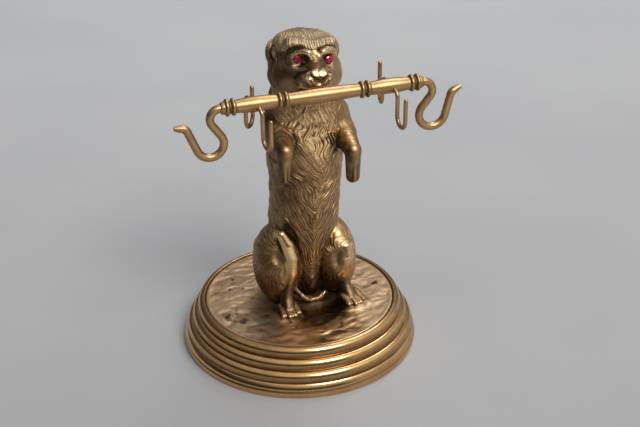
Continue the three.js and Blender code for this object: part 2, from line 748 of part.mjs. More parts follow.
function onBar(x, forward, up) {
  return new THREE.Vector3(barMiddle.x + x, barMiddle.y - forward, barMiddle.z + up);
}

// A flat path of straights and arcs: each leg is [length, turn in degrees, radius]
function walk(start, heading, legsOfPath) {
  const path = [start.slice()];
  let [x, y] = start;
  let angle = THREE.MathUtils.degToRad(heading);
  for (const [length, turn, radius] of legsOfPath) {
    if (turn === 0) {
      x += length * Math.cos(angle);
      y += length * Math.sin(angle);
      path.push([x, y]);
      continue;
    }
    const pieces = Math.ceil(Math.abs(turn) / 18);
    const step = THREE.MathUtils.degToRad(turn / pieces);
    const chord = 2 * radius * Math.sin(Math.abs(step) / 2);
    for (let i = 0; i < pieces; i++) {
      x += chord * Math.cos(angle + step / 2);
      y += chord * Math.sin(angle + step / 2);
      angle += step;
      path.push([x, y]);
    }
  }
  return path;
}

// S-shaped arms in the plane of the bar: over, down and back in, then a wide upturned bend and a flared tip
const barArms = [
  {
    name: "arm_left",
    side: -1,
    over: { turn: 125, radius: 3.3 },
    inward: 4.6,
    bend: { turn: 193, radius: 4.35 },
    outward: 7.4,
    flare: { turn: 59, radius: 2 },
  },
  {
    name: "arm_right",
    side: 1,
    over: { turn: 130, radius: 3.4 },
    inward: 3.8,
    bend: { turn: 206, radius: 4.6 },
    outward: 6.8,
    flare: { turn: 48, radius: 2.4 },
  },
];

function armPath(arm, barEnd) {
  return walk([barEnd - armTenon + fit, 0], 0, [
    [armTenon - 0.2, 0, 0],
    [0, -arm.over.turn, arm.over.radius],
    [arm.inward, 0, 0],
    [0, arm.bend.turn, arm.bend.radius],
    [arm.outward, 0, 0],
    [0, -arm.flare.turn, arm.flare.radius],
    [0.3, 0, 0],
  ]);
}

function armGeometry(arm, barEnd) {
  const path = armPath(arm, barEnd).map(([x, z]) => onBar(arm.side * x, 0, z));
  const tube = solidOf(wire(path, armRadius, 8, 30));
  const last = path[path.length - 1];
  const way = last.clone().sub(path[path.length - 2]).normalize();
  const from = last.clone().addScaledVector(way, -0.4);
  const to = last.clone().addScaledVector(way, armTipLength);
  return geometryOf(tube.add(solidOf(pin(from, to, armRadius * 0.98, 8, armTipRadius))));
}

// Cross wires: through the bar on a slant, then a hook in front and one behind
const hookRadius = hookWidth / 2;
const hookSlope = 15;
const crossWires = [
  {
    name: "hook_left",
    at: -wireHoleAt,
    yaw: 16,
    front: { drop: 6.6, rise: 7.6, yaw: 9 },
    back: { drop: 6.4, rise: 9.4, yaw: 36 },
  },
  {
    name: "hook_right",
    at: wireHoleAt,
    yaw: 8,
    front: { drop: 5.6, rise: 7.6, yaw: 3 },
    back: { drop: 4.4, rise: 9.6, yaw: 13 },
  },
];

function hookPath(cross, hook, facing) {
  const slope = -facing * hookSlope;
  const neck = walk([0, 0], slope, [
    [collarRadius + fit, 0, 0],
    [0, -90 - slope, 2],
    [hook.drop, 0, 0],
  ]);
  const [reach, low] = neck[neck.length - 1];
  const bend = walk([0, low], -90, [
    [0, 180, hookRadius],
    [hook.rise, 0, 0],
  ]).slice(1);
  const yaw = THREE.MathUtils.degToRad(cross.yaw);
  const spread = (hook.yaw * Math.PI) / 180;
  const place = ([out, up], angle, from) =>
    onBar(cross.at + facing * from[0] + out * Math.sin(angle), facing * (from[1] + out * Math.cos(angle)), up);
  const shank = neck.map(([out, up]) => place([0, up], 0, [out * Math.sin(yaw), out * Math.cos(yaw)]));
  const foot = [reach * Math.sin(yaw), reach * Math.cos(yaw)];
  return [...shank, ...bend.map((point) => place(point, spread, foot))];
}

function crossWirePath(cross) {
  const front = hookPath(cross, cross.front, 1);
  const back = hookPath(cross, cross.back, -1);
  return [...front.reverse(), ...back.slice(1)];
}

function holeDirection(cross) {
  const yaw = THREE.MathUtils.degToRad(cross.yaw);
  const slope = THREE.MathUtils.degToRad(hookSlope);
  return new THREE.Vector3(Math.sin(yaw) * Math.cos(slope), -Math.cos(yaw) * Math.cos(slope), -Math.sin(slope));
}

// Foot
addPiece("base", footGeometry(), gilt);

// Animal and its ground disc, cast in one
const disc = turned(
  [
    [0, groundLevel - discThickness],
    [discRadius - 0.3, groundLevel - discThickness],
    [discRadius, groundLevel - discThickness + 0.3],
    [discRadius, groundLevel - 0.5],
    [discRadius - 0.4, groundLevel],
    [0, groundLevel],
  ],
  roundSides,
);
let animal = solidOf(animalGeometry()).add(solidOf(disc));
const groundCut = new THREE.BoxGeometry(2 * footRadius, 2 * footRadius, footHeight);
groundCut.translate(0, 0, groundLevel - discThickness - footHeight / 2);
animal = animal.subtract(solidOf(groundCut));
const mouth = pin(onBar(-innerCollarAt, 0, 0), onBar(innerCollarAt, 0, 0), barMiddleRadius + fit, 24);
animal = animal.subtract(solidOf(mouth));
const seats = eyes.map(seatOf);
for (const { face, look, radius } of seats) {
  const from = face.clone().addScaledVector(look, -socketDepth);
  const to = face.clone().addScaledVector(look, 3);
  animal = animal.subtract(solidOf(pin(from, to, radius + fit, 16)));
}
addPiece("figure", geometryOf(animal), paleGilt);

// Stones
for (const seat of seats) addPiece(seat.name, stoneGeometry(seat), ruby);

// Bar with a blind bore at each end and two drilled cross holes
const { profile: barOutline, barEnd } = barProfile();
const barBlank = turned(barOutline, 12);
barBlank.rotateY(Math.PI / 2);
barBlank.translate(barMiddle.x, barMiddle.y, barMiddle.z);
let bar = solidOf(barBlank);
for (const side of [-1, 1]) {
  const mouthOfBore = onBar(side * (barEnd + 1), 0, 0);
  const boreEnd = onBar(side * (barEnd - armTenon), 0, 0);
  bar = bar.subtract(solidOf(pin(boreEnd, mouthOfBore, armRadius + fit, 16)));
}
for (const cross of crossWires) {
  const reach = holeDirection(cross).multiplyScalar(2 * collarRadius);
  const middle = onBar(cross.at, 0, 0);
  const hole = pin(middle.clone().sub(reach), middle.clone().add(reach), wireRadius + fit, 12);
  bar = bar.subtract(solidOf(hole));
}
addPiece("crossbar", geometryOf(bar), satinBrass);

// Arms and cross wires
for (const arm of barArms) addPiece(arm.name, armGeometry(arm, barEnd), satinBrass);
for (const cross of crossWires) addPiece(cross.name, wire(crossWirePath(cross), wireRadius, 6, 36), satinBrass);

// All of it was laid out from the foot's axis
stand.position.x = -barSide;

export default stand;
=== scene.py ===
"""Looks of the watch stand: a gilt animal on a round stepped foot, with a turned bar, arms and hooks.

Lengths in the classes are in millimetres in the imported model's frame. The animal's own form is in hundredths
of its height, from the ground between its feet, and faces -Y.
"""
import logging
import math
from dataclasses import dataclass, field
from enum import Enum
from typing import Callable, Sequence

import bpy
import numpy as np
from mathutils import Matrix, Vector


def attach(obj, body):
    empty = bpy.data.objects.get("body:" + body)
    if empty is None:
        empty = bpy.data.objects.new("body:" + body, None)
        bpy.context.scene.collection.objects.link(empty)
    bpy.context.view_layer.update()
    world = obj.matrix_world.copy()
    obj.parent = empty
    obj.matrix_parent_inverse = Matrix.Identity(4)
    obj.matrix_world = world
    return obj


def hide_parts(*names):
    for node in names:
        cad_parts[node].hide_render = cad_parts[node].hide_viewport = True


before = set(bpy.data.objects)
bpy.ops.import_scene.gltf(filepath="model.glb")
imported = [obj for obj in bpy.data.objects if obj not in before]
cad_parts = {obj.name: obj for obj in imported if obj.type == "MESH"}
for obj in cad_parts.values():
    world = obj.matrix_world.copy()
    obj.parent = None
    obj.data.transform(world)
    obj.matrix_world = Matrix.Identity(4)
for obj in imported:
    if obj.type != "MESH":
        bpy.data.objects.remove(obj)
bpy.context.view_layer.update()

log = logging.getLogger("watch_stand")

Vec = tuple[float, float, float]
Flat = list[tuple[float, float]]
Steps = tuple[tuple[float, float], ...]  # pairs of shares
Profile = list[Vec]  # radius, height and how brown each point is
Stops = tuple[tuple[float, float, float, float], ...]  # places and radii along a chain of limbs
Rows = tuple[tuple[float, ...], ...]  # a table, lowest height first
Array = np.ndarray
Form = Callable[[Array], Array]
Thing = bpy.types.Object
Mesh = bpy.types.Mesh
Material = bpy.types.Material
Node = bpy.types.Node
Socket = bpy.types.NodeSocket
Tree = bpy.types.NodeTree

MM = 0.001
FOOT_X = -3.7  # the foot's axis
FIGURE_X = -0.6  # the animal's middle
FIGURE_Y = 2.0
GROUND = 15.3  # top of the disc
SHARE = 0.974  # millimetres in a hundredth of the animal's height
BAR = (0.0, -17.8, 97.4)  # middle of the bar
SEED = 7
STRAIGHT = 1.2  # length of the pieces of a wire's straight parts


class Side(Enum):
    """Which side of the stand, as it is seen from in front."""

    LEFT = -1
    RIGHT = 1

    @property
    def label(self) -> str:
        """The side's name in the names of pieces."""
        return self.name.lower()


# Shapes as distance functions


def turn_matrix(x: float, y: float, z: float) -> Array:
    """Rotation about X, then Y, then Z.

    Args:
        x: Degrees about X.
        y: Degrees about Y.
        z: Degrees about Z.

    Returns:
        The matrix that turns a row of points into the turned part's own frame by points @ matrix.
    """
    turn = Matrix.Rotation(math.radians(z), 3, "Z") @ Matrix.Rotation(math.radians(y), 3, "Y")
    return np.array(turn @ Matrix.Rotation(math.radians(x), 3, "X"), dtype=np.float32)


def ellipsoid(p: Array, centre: Vec, radii: Vec, turn: Array | None = None) -> Array:
    """Rough distance to an ellipsoid.

    Args:
        p: Points, one a row.
        centre: The ellipsoid's middle.
        radii: Its three radii.
        turn: Its own frame, where it is turned.

    Returns:
        A distance for each point, negative inside.
    """
    q = p - np.asarray(centre, np.float32)
    if turn is not None:
        q = q @ turn
    r = np.asarray(radii, np.float32)
    a = np.sqrt(((q / r) ** 2).sum(1)) + 1e-6
    b = np.sqrt(((q / r**2) ** 2).sum(1)) + 1e-6
    return a * (a - 1) / b


def limb(p: Array, start: Vec, end: Vec, first: float, last: float) -> Array:
    """Distance to a round limb that tapers from one point to another.

    Args:
        p: Points, one a row.
        start: Where the limb starts.
        end: Where it ends.
        first: Radius at the start.
        last: Radius at the end.

    Returns:
        A distance for each point, negative inside.
    """
    a = np.asarray(start, np.float32)
    way = np.asarray(end, np.float32) - a
    t = np.clip((p - a) @ way / (way @ way), 0, 1)
    gap = np.sqrt(((p - a - t[:, None] * way) ** 2).sum(1))
    return gap - (first + (last - first) * t)


def ridge(p: Array, stops: Stops) -> Array:
    """Distance to a chain of limbs.

    Args:
        p: Points, one a row.
        stops: Each stop's place and radius.

    Returns:
        A distance for each point, negative inside.
    """
    parts = [limb(p, a[:3], b[:3], a[3], b[3]) for a, b in zip(stops, stops[1:])]
    return np.minimum.reduce(parts)


def mirrored(p: Array) -> Array:
    """The points, with those on the left moved to their places on the right."""
    m = p.copy()
    m[:, 0] = np.abs(m[:, 0])
    return m


def join(a: Array, b: Array, blend: float) -> Array:
    """Both forms, melted together over the blend's width."""
    h = np.maximum(blend - np.abs(a - b), 0) / blend
    return np.minimum(a, b) - h * h * blend / 4


def carve(a: Array, b: Array, blend: float) -> Array:
    """The first form with the second cut out of it, over the blend's width."""
    return -join(-a, b, blend)


def along(height: Array, stations: Rows, column: int) -> Array:
    """A smooth curve through stations, by cubic pieces.

    Args:
        height: Where the curve is read.
        stations: Rows that start with a height.
        column: Which value of a row to read.

    Returns:
        The value at each height.
    """
    at = np.array([s[0] for s in stations], np.float32)
    value = np.array([s[column] for s in stations], np.float32)
    slope = np.diff(value) / np.diff(at)
    tangent = np.concatenate([slope[:1], (slope[1:] + slope[:-1]) / 2, slope[-1:]])
    h = np.clip(height, at[0], at[-1])
    i = np.clip(np.searchsorted(at, h) - 1, 0, len(at) - 2)
    step = at[i + 1] - at[i]
    t = (h - at[i]) / step
    start = (2 * t**3 - 3 * t**2 + 1) * value[i] + (t**3 - 2 * t**2 + t) * step * tangent[i]
    return start + (3 * t**2 - 2 * t**3) * value[i + 1] + (t**3 - t**2) * step * tangent[i + 1]


def fade(value: Array, start: float, end: float) -> Array:
    """0 before start, 1 after end, and smooth between."""
    t = np.clip((value - start) / (end - start), 0, 1)
    return t * t * (3 - 2 * t)


def chance(cell: Array, seed: float) -> Array:
    """A fixed random number from 0 to 1 for each whole-numbered cell."""
    wave = np.sin(cell * 12.9898 + seed * 78.233) * 43758.5453
    return wave - np.floor(wave)


def lumps(p: Array, size: float, seed: int) -> Array:
    """Smooth random lumps.

    Args:
        p: Points, one a row, with two or three numbers each.
        size: Distance between lumps.
        seed: Which lumps.

    Returns:
        A value for each point, from about -1 to 1.
    """
    q = p.astype(np.float64) / size
    whole = np.floor(q)
    part = q - whole
    part = part * part * (3 - 2 * part)
    total = np.zeros(len(p))
    for corner in range(2 ** p.shape[1]):
        bits = [(corner >> axis) & 1 for axis in range(p.shape[1])]
        cell = sum((whole[:, axis] + bits[axis]) * (1.0, 57.0, 113.0)[axis] for axis in range(p.shape[1]))
        weight = np.ones(len(p))
        for axis, bit in enumerate(bits):
            weight = weight * (part[:, axis] if bit else 1 - part[:, axis])
        total += weight * (2 * chance(cell, seed) - 1)
    return total.astype(np.float32)


@dataclass
class SurfaceNet:
    """A closed mesh of a form's surface, with one point in each grid cell that the surface crosses."""

    low: Vec
    high: Vec
    cell: float
    coarse: int = 4  # fine cells in a coarse one, which is skipped where the surface is far away
    margin: float = 2.6  # how far the surface may be from a coarse cell that is still read

    def values(self, form: Form) -> tuple[Array, Array]:
        """Read the form on the grid.

        Args:
            form: The distance function.

        Returns:
            The grid's values, and its lowest corner.
        """
        low = np.asarray(self.low, float)
        big = self.cell * self.coarse
        count = np.ceil((np.asarray(self.high) - low) / big).astype(int)
        middles = [low[a] + big * (np.arange(count[a]) + 0.5) for a in range(3)]
        grid = np.stack(np.meshgrid(*middles, indexing="ij"), -1).reshape(-1, 3).astype(np.float32)
        rough = form(grid).reshape(tuple(count))
        fine = np.repeat(np.repeat(np.repeat(rough, self.coarse, 0), self.coarse, 1), self.coarse, 2)
        near = np.argwhere(np.abs(rough) < self.margin)
        steps = np.stack(np.meshgrid(*[np.arange(self.coarse)] * 3, indexing="ij"), -1).reshape(-1, 3)
        cells = (near[:, None, :] * self.coarse + steps[None]).reshape(-1, 3)
        for part in np.array_split(cells, max(1, len(cells) // 400000)):
            spots = (low + self.cell * part).astype(np.float32)
            fine[tuple(part.T)] = form(spots)
        return fine, low

    def mesh(self, form: Form) -> tuple[Array, Array]:
        """Mesh the form.

        Args:
            form: The distance function.

        Returns:
            The points, and four-sided faces that face outwards.
        """
        grid, low = self.values(form)
        inside = grid < 0
        shape = tuple(n - 1 for n in grid.shape)
        offset = np.zeros(shape + (3,), np.float32)
        crossings = np.zeros(shape, np.float32)
        ends = (slice(0, -1), slice(1, None))
        corners = [(i, j, k) for i in (0, 1) for j in (0, 1) for k in (0, 1)]
        for a in corners:
            for axis in range(3):
                if a[axis] == 1:
                    continue
                b = tuple(1 if n == axis else a[n] for n in range(3))
                va, vb = (grid[tuple(ends[n] for n in c)] for c in (a, b))
                crossed = (va < 0) != (vb < 0)
                t = np.where(crossed, va / np.where(crossed, va - vb, 1), 0)
                for n in range(3):
                    offset[..., n] += crossed * (a[n] + (b[n] - a[n]) * t)
                crossings += crossed
        active = crossings > 0
        number = -np.ones(shape, np.int64)
        number[active] = np.arange(active.sum())
        points = low + self.cell * (np.argwhere(active) + offset[active] / crossings[active][:, None])
        faces = []
        for axis in range(3):
            first, second = [(1, 2), (2, 0), (0, 1)][axis]
            here, there = [slice(1, -1)] * 3, [slice(1, -1)] * 3
            here[axis], there[axis] = slice(0, -1), slice(1, None)
            start, stop = inside[tuple(here)], inside[tuple(there)]
            edges = np.argwhere(start != stop)
            leaving = start[tuple(edges.T)]
            ring = []
            for da, db in ((-1, -1), (0, -1), (0, 0), (-1, 0)):
                cell = edges.copy()
                cell[:, first] += 1 + da
                cell[:, second] += 1 + db
                ring.append(number[tuple(cell.T)])
            quads = np.stack(ring, 1)
            quads[~leaving] = quads[~leaving][:, ::-1]
            faces.append(quads)
        return points.astype(np.float32), np.concatenate(faces)


def gradient(form: Form, p: Array, step: float = 0.05) -> Array:
    """The form's slope at each point, by small steps along the axes."""
    rows = []
    for axis in range(3):
        shift = np.zeros(3, np.float32)
        shift[axis] = step
        rows.append((form(p + shift) - form(p - shift)) / (2 * step))
    return np.stack(rows, 1)


def averaged(value: Array, faces: Array, rounds: int) -> Array:
    """Smooth a value over the mesh.

    Args:
        value: One row for each vertex.
        faces: Four-sided faces.
        rounds: How many times each vertex takes its neighbours' average.

    Returns:
        The smoothed value.
    """
    start = faces.ravel()
    end = np.roll(faces, -1, axis=1).ravel()
    count = np.bincount(start, minlength=len(value)) + np.bincount(end, minlength=len(value)) + 1e-6
    value = value.reshape(len(value), -1)
    for _ in range(rounds):
        total = np.stack(
            [
                np.bincount(start, weights=value[end, c], minlength=len(value))
                + np.bincount(end, weights=value[start, c], minlength=len(value))
                for c in range(value.shape[1])
            ],
            1,
        )
        value = 0.5 * value + 0.5 * total / count[:, None]
    return value


# Shader nodes


class Board:
    """Places and links the nodes of one tree."""

    def __init__(self, tree: Tree) -> None:
        """Start on an empty tree."""
        self.tree = tree
        self.count = 0

    def node(self, kind: str, inputs: dict | None = None, **settings: object) -> Node:
        """Add one node.

        Args:
            kind: The node's type name.
            inputs: Values or output sockets for its inputs, by name or number.
            **settings: Properties to set on the node first.

        Returns:
            The new node.
        """
        node = self.tree.nodes.new(kind)
        node.location = (220 * (self.count % 8), -260 * (self.count // 8))
        self.count += 1
        for name, value in settings.items():
            setattr(node, name, value)
        for name, value in (inputs or {}).items():
            if isinstance(value, Socket):
                self.tree.links.new(value, node.inputs[name])
            else:
                node.inputs[name].default_value = value
        return node

    def math(self, operation: str, a: object, b: object = 0.0, clamp: bool = False) -> Socket:
        """Combine two numbers by a Math node and return its output."""
        node = self.node("ShaderNodeMath", {0: a, 1: b}, operation=operation, use_clamp=clamp)
        return node.outputs[0]

    def add(self, a: object, b: object, clamp: bool = False) -> Socket:
        """The sum of two numbers."""
        return self.math("ADD", a, b, clamp)

    def minus(self, a: object, b: object, clamp: bool = False) -> Socket:
        """The first number less the second."""
        return self.math("SUBTRACT", a, b, clamp)

    def times(self, a: object, b: object, clamp: bool = False) -> Socket:
        """The product of two numbers."""
        return self.math("MULTIPLY", a, b, clamp)

    def ramp(self, value: object, start: float, end: float, low: float = 0.0, high: float = 1.0) -> Socket:
        """Map a number smoothly from one range to another, held at both ends."""
        inputs = {"Value": value, "From Min": start, "From Max": end, "To Min": low, "To Max": high}
        return self.node("ShaderNodeMapRange", inputs, interpolation_type="SMOOTHSTEP").outputs[0]

    def blend(self, factor: object, a: object, b: object, kind: str = "MIX") -> Socket:
        """Mix two colours, each a socket or red, green and blue, and return the colour."""
        a, b = (colour if isinstance(colour, Socket) else (*colour, 1) for colour in (a, b))
        node = self.node("ShaderNodeMix", {0: factor, 6: a, 7: b}, data_type="RGBA", blend_type=kind)
        return node.outputs[2]

    def noise(self, place: object, scale: float, detail: float = 2.0, rough: float = 0.5) -> Socket:
        """A noise texture's value at a place, with its scale in lumps per metre."""
        inputs = {"Vector": place, "Scale": scale, "Detail": detail, "Roughness": rough}
        return self.node("ShaderNodeTexNoise", inputs).outputs[0]

    def object_place(self) -> Socket:
        """The point's place on its own object."""
        return self.node("ShaderNodeTexCoord").outputs["Object"]

    def attribute(self, name: str) -> Node:
        """A value that the mesh carries."""
        return self.node("ShaderNodeAttribute", attribute_name=name)

    def metal(self, shader: Node, colour: Socket, rough: Socket, height: Socket) -> None:
        """Make a shader a metal.

        Args:
            shader: The Principled shader.
            colour: Its colour.
            rough: Its roughness.
            height: Its bumps' height in millimetres.
        """
        bump = self.node("ShaderNodeBump", {"Height": height, "Distance": MM, "Strength": 1.0})
        for name, value in (("Base Color", colour), ("Roughness", rough), ("Normal", bump.outputs[0])):
            self.tree.links.new(value, shader.inputs[name])
        shader.inputs["Metallic"].default_value = 1.0


def shader_group(name: str, inputs: dict[str, float], outputs: list[str]) -> tuple[Tree, Board, dict]:
    """Start a group of shader nodes.

    Args:
        name: The group's name.
        inputs: Its number inputs with their first values.
        outputs: Its number outputs.

    Returns:
        The tree, its board, and its input sockets by name.
    """
    tree = bpy.data.node_groups.new(name, "ShaderNodeTree")
    for label, value in inputs.items():
        tree.interface.new_socket(label, in_out="INPUT", socket_type="NodeSocketFloat").default_value = value
    for label in outputs:
        tree.interface.new_socket(label, in_out="OUTPUT", socket_type="NodeSocketFloat")
    board = Board(tree)
    start = board.node("NodeGroupInput")
    return tree, board, {label: start.outputs[label] for label in inputs}


def tarnish_and_shade_group() -> Tree:
    """Brown tarnish in the hollows and in painted shade, as the mesh gives it, broken up by noise."""
    tree, board, given = shader_group("Tarnish_and_shade", {"Amount": 1.0, "Scale": 220.0, "Break up": 0.35}, ["Mask"])
    recess = board.attribute("recess").outputs["Fac"]
    noise = board.noise(board.object_place(), 1.0)
    board.tree.links.new(given["Scale"], noise.node.inputs["Scale"])
    broken = board.times(board.minus(noise, 0.5), given["Break up"])
    mask = board.times(board.add(recess, broken), given["Amount"], clamp=True)
    board.node("NodeGroupOutput", {"Mask": mask})
    return tree


def mottle_group() -> Tree:
    """Soft patches of handling and dust, at two sizes."""
    tree, board, given = shader_group("Mottle", {"Scale": 90.0, "Low": 0.0, "High": 1.0}, ["Value"])
    place = board.object_place()
    wide = board.noise(place, 1.0, 3.0)
    fine = board.noise(place, 1.0, 4.0, 0.6)
    board.tree.links.new(given["Scale"], wide.node.inputs["Scale"])
    board.tree.links.new(board.times(given["Scale"], 6.0), fine.node.inputs["Scale"])
    both = board.add(board.times(wide, 0.6), board.times(fine, 0.4))
    spread = board.ramp(both, 0.35, 0.65)
    gap = board.minus(given["High"], given["Low"])
    value = board.add(given["Low"], board.times(spread, gap))
    board.node("NodeGroupOutput", {"Value": value})
    return tree


@dataclass
class Groups:
    """The shader groups that more than one material uses."""

    tarnish_and_shade: Tree = field(default_factory=tarnish_and_shade_group)
    mottle: Tree = field(default_factory=mottle_group)


def place_group(board: Board, group: Tree, **values: float) -> Socket:
    """Put a shader group in a material with its own values, and return its first output."""
    node = board.node("ShaderNodeGroup", node_tree=group)
    for name, value in values.items():
        node.inputs[name.replace("_", " ").capitalize()].default_value = value
    return node.outputs[0]


def new_material(name: str) -> tuple[Material, Board, Node]:
    """Start a material.

    Args:
        name: The material's name.

    Returns:
        The material, its board and its Principled shader.
    """
    material = bpy.data.materials.new(name)
    material.use_nodes = True
    board = Board(material.node_tree)
    return material, board, material.node_tree.nodes["Principled BSDF"]


@dataclass(frozen=True)
class MetalFinish:
    """A gilt or brass finish: bright metal, brown in the hollows and in painted shade, with fine lines and
    mottling.
    """

    name: str
    bright: Vec
    dull: Vec
    brown: Vec
    smooth: float  # roughness where it is cleanest
    rough: float  # roughness where it is dull
    tarnish_and_shade: float  # how much brown the tarnish and painted shade give
    line_pitch: float  # millimetres between fine lines, along the "along" attribute
    line_depth: float  # how strongly they show
    lump_size: float  # millimetres between shallow dents
    lump_depth: float
    tarnish_and_shade_rough: float = 0.25  # how much rougher the brown is

    def material(self, groups: Groups) -> Material:
        """Build the finish.

        Args:
            groups: The shared shader groups.

        Returns:
            The new material.
        """
        material, board, shader = new_material(self.name)
        place = board.object_place()
        tarnish_and_shade = place_group(board, groups.tarnish_and_shade, amount=self.tarnish_and_shade, scale=260.0, break_up=0.4)
        mottle = place_group(board, groups.mottle, scale=70.0, low=0.0, high=1.0)
        colour = board.blend(mottle, self.bright, self.dull)
        # brown over the colour: tarnish in the hollows, and painted shade
        colour = board.blend(tarnish_and_shade, colour, self.brown)
        rough = board.add(board.times(mottle, self.rough - self.smooth), self.smooth)
        rough = board.add(rough, board.times(tarnish_and_shade, self.tarnish_and_shade_rough), clamp=True)
        run = board.attribute("along").outputs["Vector"]
        lines = board.noise(run, 1 / (self.line_pitch * MM), 3.0, 0.65)
        dents = board.noise(place, 1 / (self.lump_size * MM), 1.5)
        height = board.add(board.times(lines, self.line_depth), board.times(dents, self.lump_depth))
        board.metal(shader, colour, rough, height)
        return material


@dataclass(frozen=True)
class PatinaFinish:
    """The casting's finish: gilt on the ridges, worn bright and with painted highlights; brown in the cuts, as
    patina and painted shade; dusty on top, with fine chased strokes.
    """

    name: str = "Patinated gilt"
    bright: Vec = (0.88, 0.59, 0.29)
    gilt: Vec = (0.56, 0.35, 0.17)
    brown: Vec = (0.065, 0.036, 0.019)
    dust: Vec = (0.44, 0.325, 0.195)
    earth: Vec = (0.52, 0.355, 0.25)  # dust on the ground
    worn: Vec = (0.74, 0.70, 0.66)  # what is left of the gilt's colour in its dull patches
    smooth: float = 0.2
    rough: float = 0.36
    dust_rough: float = 0.14
    mottle_rough: float = 0.06
    soil_rough: float = 0.1
    wander: float = 0.35  # how far the strokes stray, in strokes
    pit_depth: float = 0.035  # millimetres
    depth_gain: float = 2.6  # how much brown the strokes hold for each millimetre of their depth
    ground_top: tuple[float, float] = (GROUND + 0.6, GROUND + 2.0)  # where the ground's dust ends

    def strokes(self, board: Board) -> tuple[Socket, Node]:
        """Chased strokes: pointed tufts over the mesh's own across and down values.

        Args:
            board: The material's board.

        Returns:
            The strokes' height from 0 to 1, and the split values of worn gilt with painted highlights, of dust
            and of the strokes' depth.
        """
        place = board.object_place()
        strand = board.node("ShaderNodeSeparateXYZ", {0: board.attribute("strand").outputs["Vector"]})
        stray = board.times(board.minus(board.noise(place, 420.0, 1.0), 0.5), self.wander)
        across = board.add(strand.outputs[0], stray)
        column = board.math("FLOOR", across)
        shift = board.node("ShaderNodeTexWhiteNoise", {"W": column}, noise_dimensions="1D").outputs["Value"]
        down = board.math("FRACT", board.add(strand.outputs[1], board.times(shift, 3.0)))
        off_middle = board.math("ABSOLUTE", board.minus(board.math("FRACT", across), 0.5))
        narrow = board.minus(1.0, board.times(board.times(down, down), 0.5))
        part = board.math("DIVIDE", board.times(off_middle, 2.0), narrow)
        roof = board.minus(1.0, board.times(part, part), clamp=True)
        rise = board.add(board.times(down, 1.1), 0.3, clamp=True)
        fall = board.times(board.minus(1.0, down), 6.0, clamp=True)
        tuft = board.times(board.times(roof, rise), fall)
        wear = board.node("ShaderNodeSeparateXYZ", {0: board.attribute("wear").outputs["Vector"]})
        return tuft, wear

    def material(self, groups: Groups) -> Material:
        """Build the finish.

        Args:
            groups: The shared shader groups.

        Returns:
            The new material.
        """
        material, board, shader = new_material(self.name)
        place = board.object_place()
        tuft, wear = self.strokes(board)
        rub_and_highlight, dust, depth = wear.outputs
        tarnish_and_shade = place_group(board, groups.tarnish_and_shade, amount=1.0, scale=420.0, break_up=0.55)
        mottle = place_group(board, groups.mottle, scale=110.0, low=0.0, high=1.0)
        deep = board.times(depth, self.depth_gain, clamp=True)
        groove = board.times(board.minus(1.0, tuft), deep)
        groove = board.ramp(groove, 0.35, 1.0, 0.0, 0.75)
        top = board.times(board.ramp(tuft, 0.35, 0.95), deep)
        # worn gilt and painted highlights make the colour bright and the roughness low
        shine = board.math("MAXIMUM", rub_and_highlight, board.times(top, 0.6), clamp=True)
        # brown: tarnish and painted shade, and the strokes' grooves
        clean = board.times(board.minus(1.0, tarnish_and_shade), board.minus(1.0, groove))
        dirt_and_shade = board.minus(1.0, clean, clamp=True)
        dull = tuple(share * part for share, part in zip(self.worn, self.gilt))
        colour = board.blend(mottle, self.gilt, dull)
        colour = board.blend(shine, colour, self.bright)
        level = board.node("ShaderNodeSeparateXYZ", {0: place}).outputs[2]
        above = board.ramp(level, *(height * MM for height in self.ground_top))
        colour = board.blend(dust, colour, board.blend(above, self.earth, self.dust))
        colour = board.blend(dirt_and_shade, colour, self.brown)
        rough = board.add(board.times(shine, self.smooth - self.rough), self.rough)
        for mask, extra in ((dust, self.dust_rough), (mottle, self.mottle_rough), (dirt_and_shade, self.soil_rough)):
            rough = board.add(rough, board.times(mask, extra))
        pits = board.noise(place, 1500.0, 2.0)
        height = board.add(board.times(tuft, depth), board.times(pits, self.pit_depth))
        board.metal(shader, colour, rough, height)
        return material


@dataclass(frozen=True)
class PasteFinish:
    """Deep red paste: clear coloured glass over a bright foil, which shows as a share of metal."""

    name: str = "Red paste"
    deep: Vec = (0.16, 0.001, 0.012)
    pale: Vec = (0.52, 0.008, 0.062)
    foil: float = 0.45

    def material(self) -> Material:
        """Build the finish and return it."""
        material, board, shader = new_material(self.name)
        cloud = board.noise(board.object_place(), 1400.0, 1.0)
        colour = board.blend(board.ramp(cloud, 0.35, 0.65), self.deep, self.pale)
        material.node_tree.links.new(colour, shader.inputs["Base Color"])
        settings = {"Metallic": self.foil, "Roughness": 0.08, "Coat Weight": 1.0, "Coat Roughness": 0.03}
        for label, value in settings.items():
            shader.inputs[label].default_value = value
        return material


@dataclass(frozen=True)
class Finishes:
    """The stand's finishes, ready to use."""

    polished: Material
    patinated: Material
    satin: Material
    paste: Material


def make_finishes() -> Finishes:
    """Build every finish once and return them."""
    groups = Groups()
    polished = MetalFinish(
        "Polished gilt",
        bright=(0.74, 0.455, 0.2),
        dull=(0.6, 0.345, 0.145),
        brown=(0.08, 0.038, 0.015),
        smooth=0.12,
        rough=0.2,
        tarnish_and_shade=0.9,
        line_pitch=0.35,
        line_depth=0.004,
        lump_size=9.0,
        lump_depth=0.01,
    )
    satin = MetalFinish(
        "Satin brass",
        bright=(0.47, 0.292, 0.134),
        dull=(0.39, 0.237, 0.108),
        brown=(0.1, 0.055, 0.025),
        smooth=0.37,
        rough=0.45,
        tarnish_and_shade=0.85,
        line_pitch=0.3,
        line_depth=0.012,
        lump_size=4.0,
        lump_depth=0.02,
    )
    return Finishes(
        polished=polished.material(groups),
        patinated=PatinaFinish().material(groups),
        satin=satin.material(groups),
        paste=PasteFinish().material(),
    )


# Geometry Nodes trees


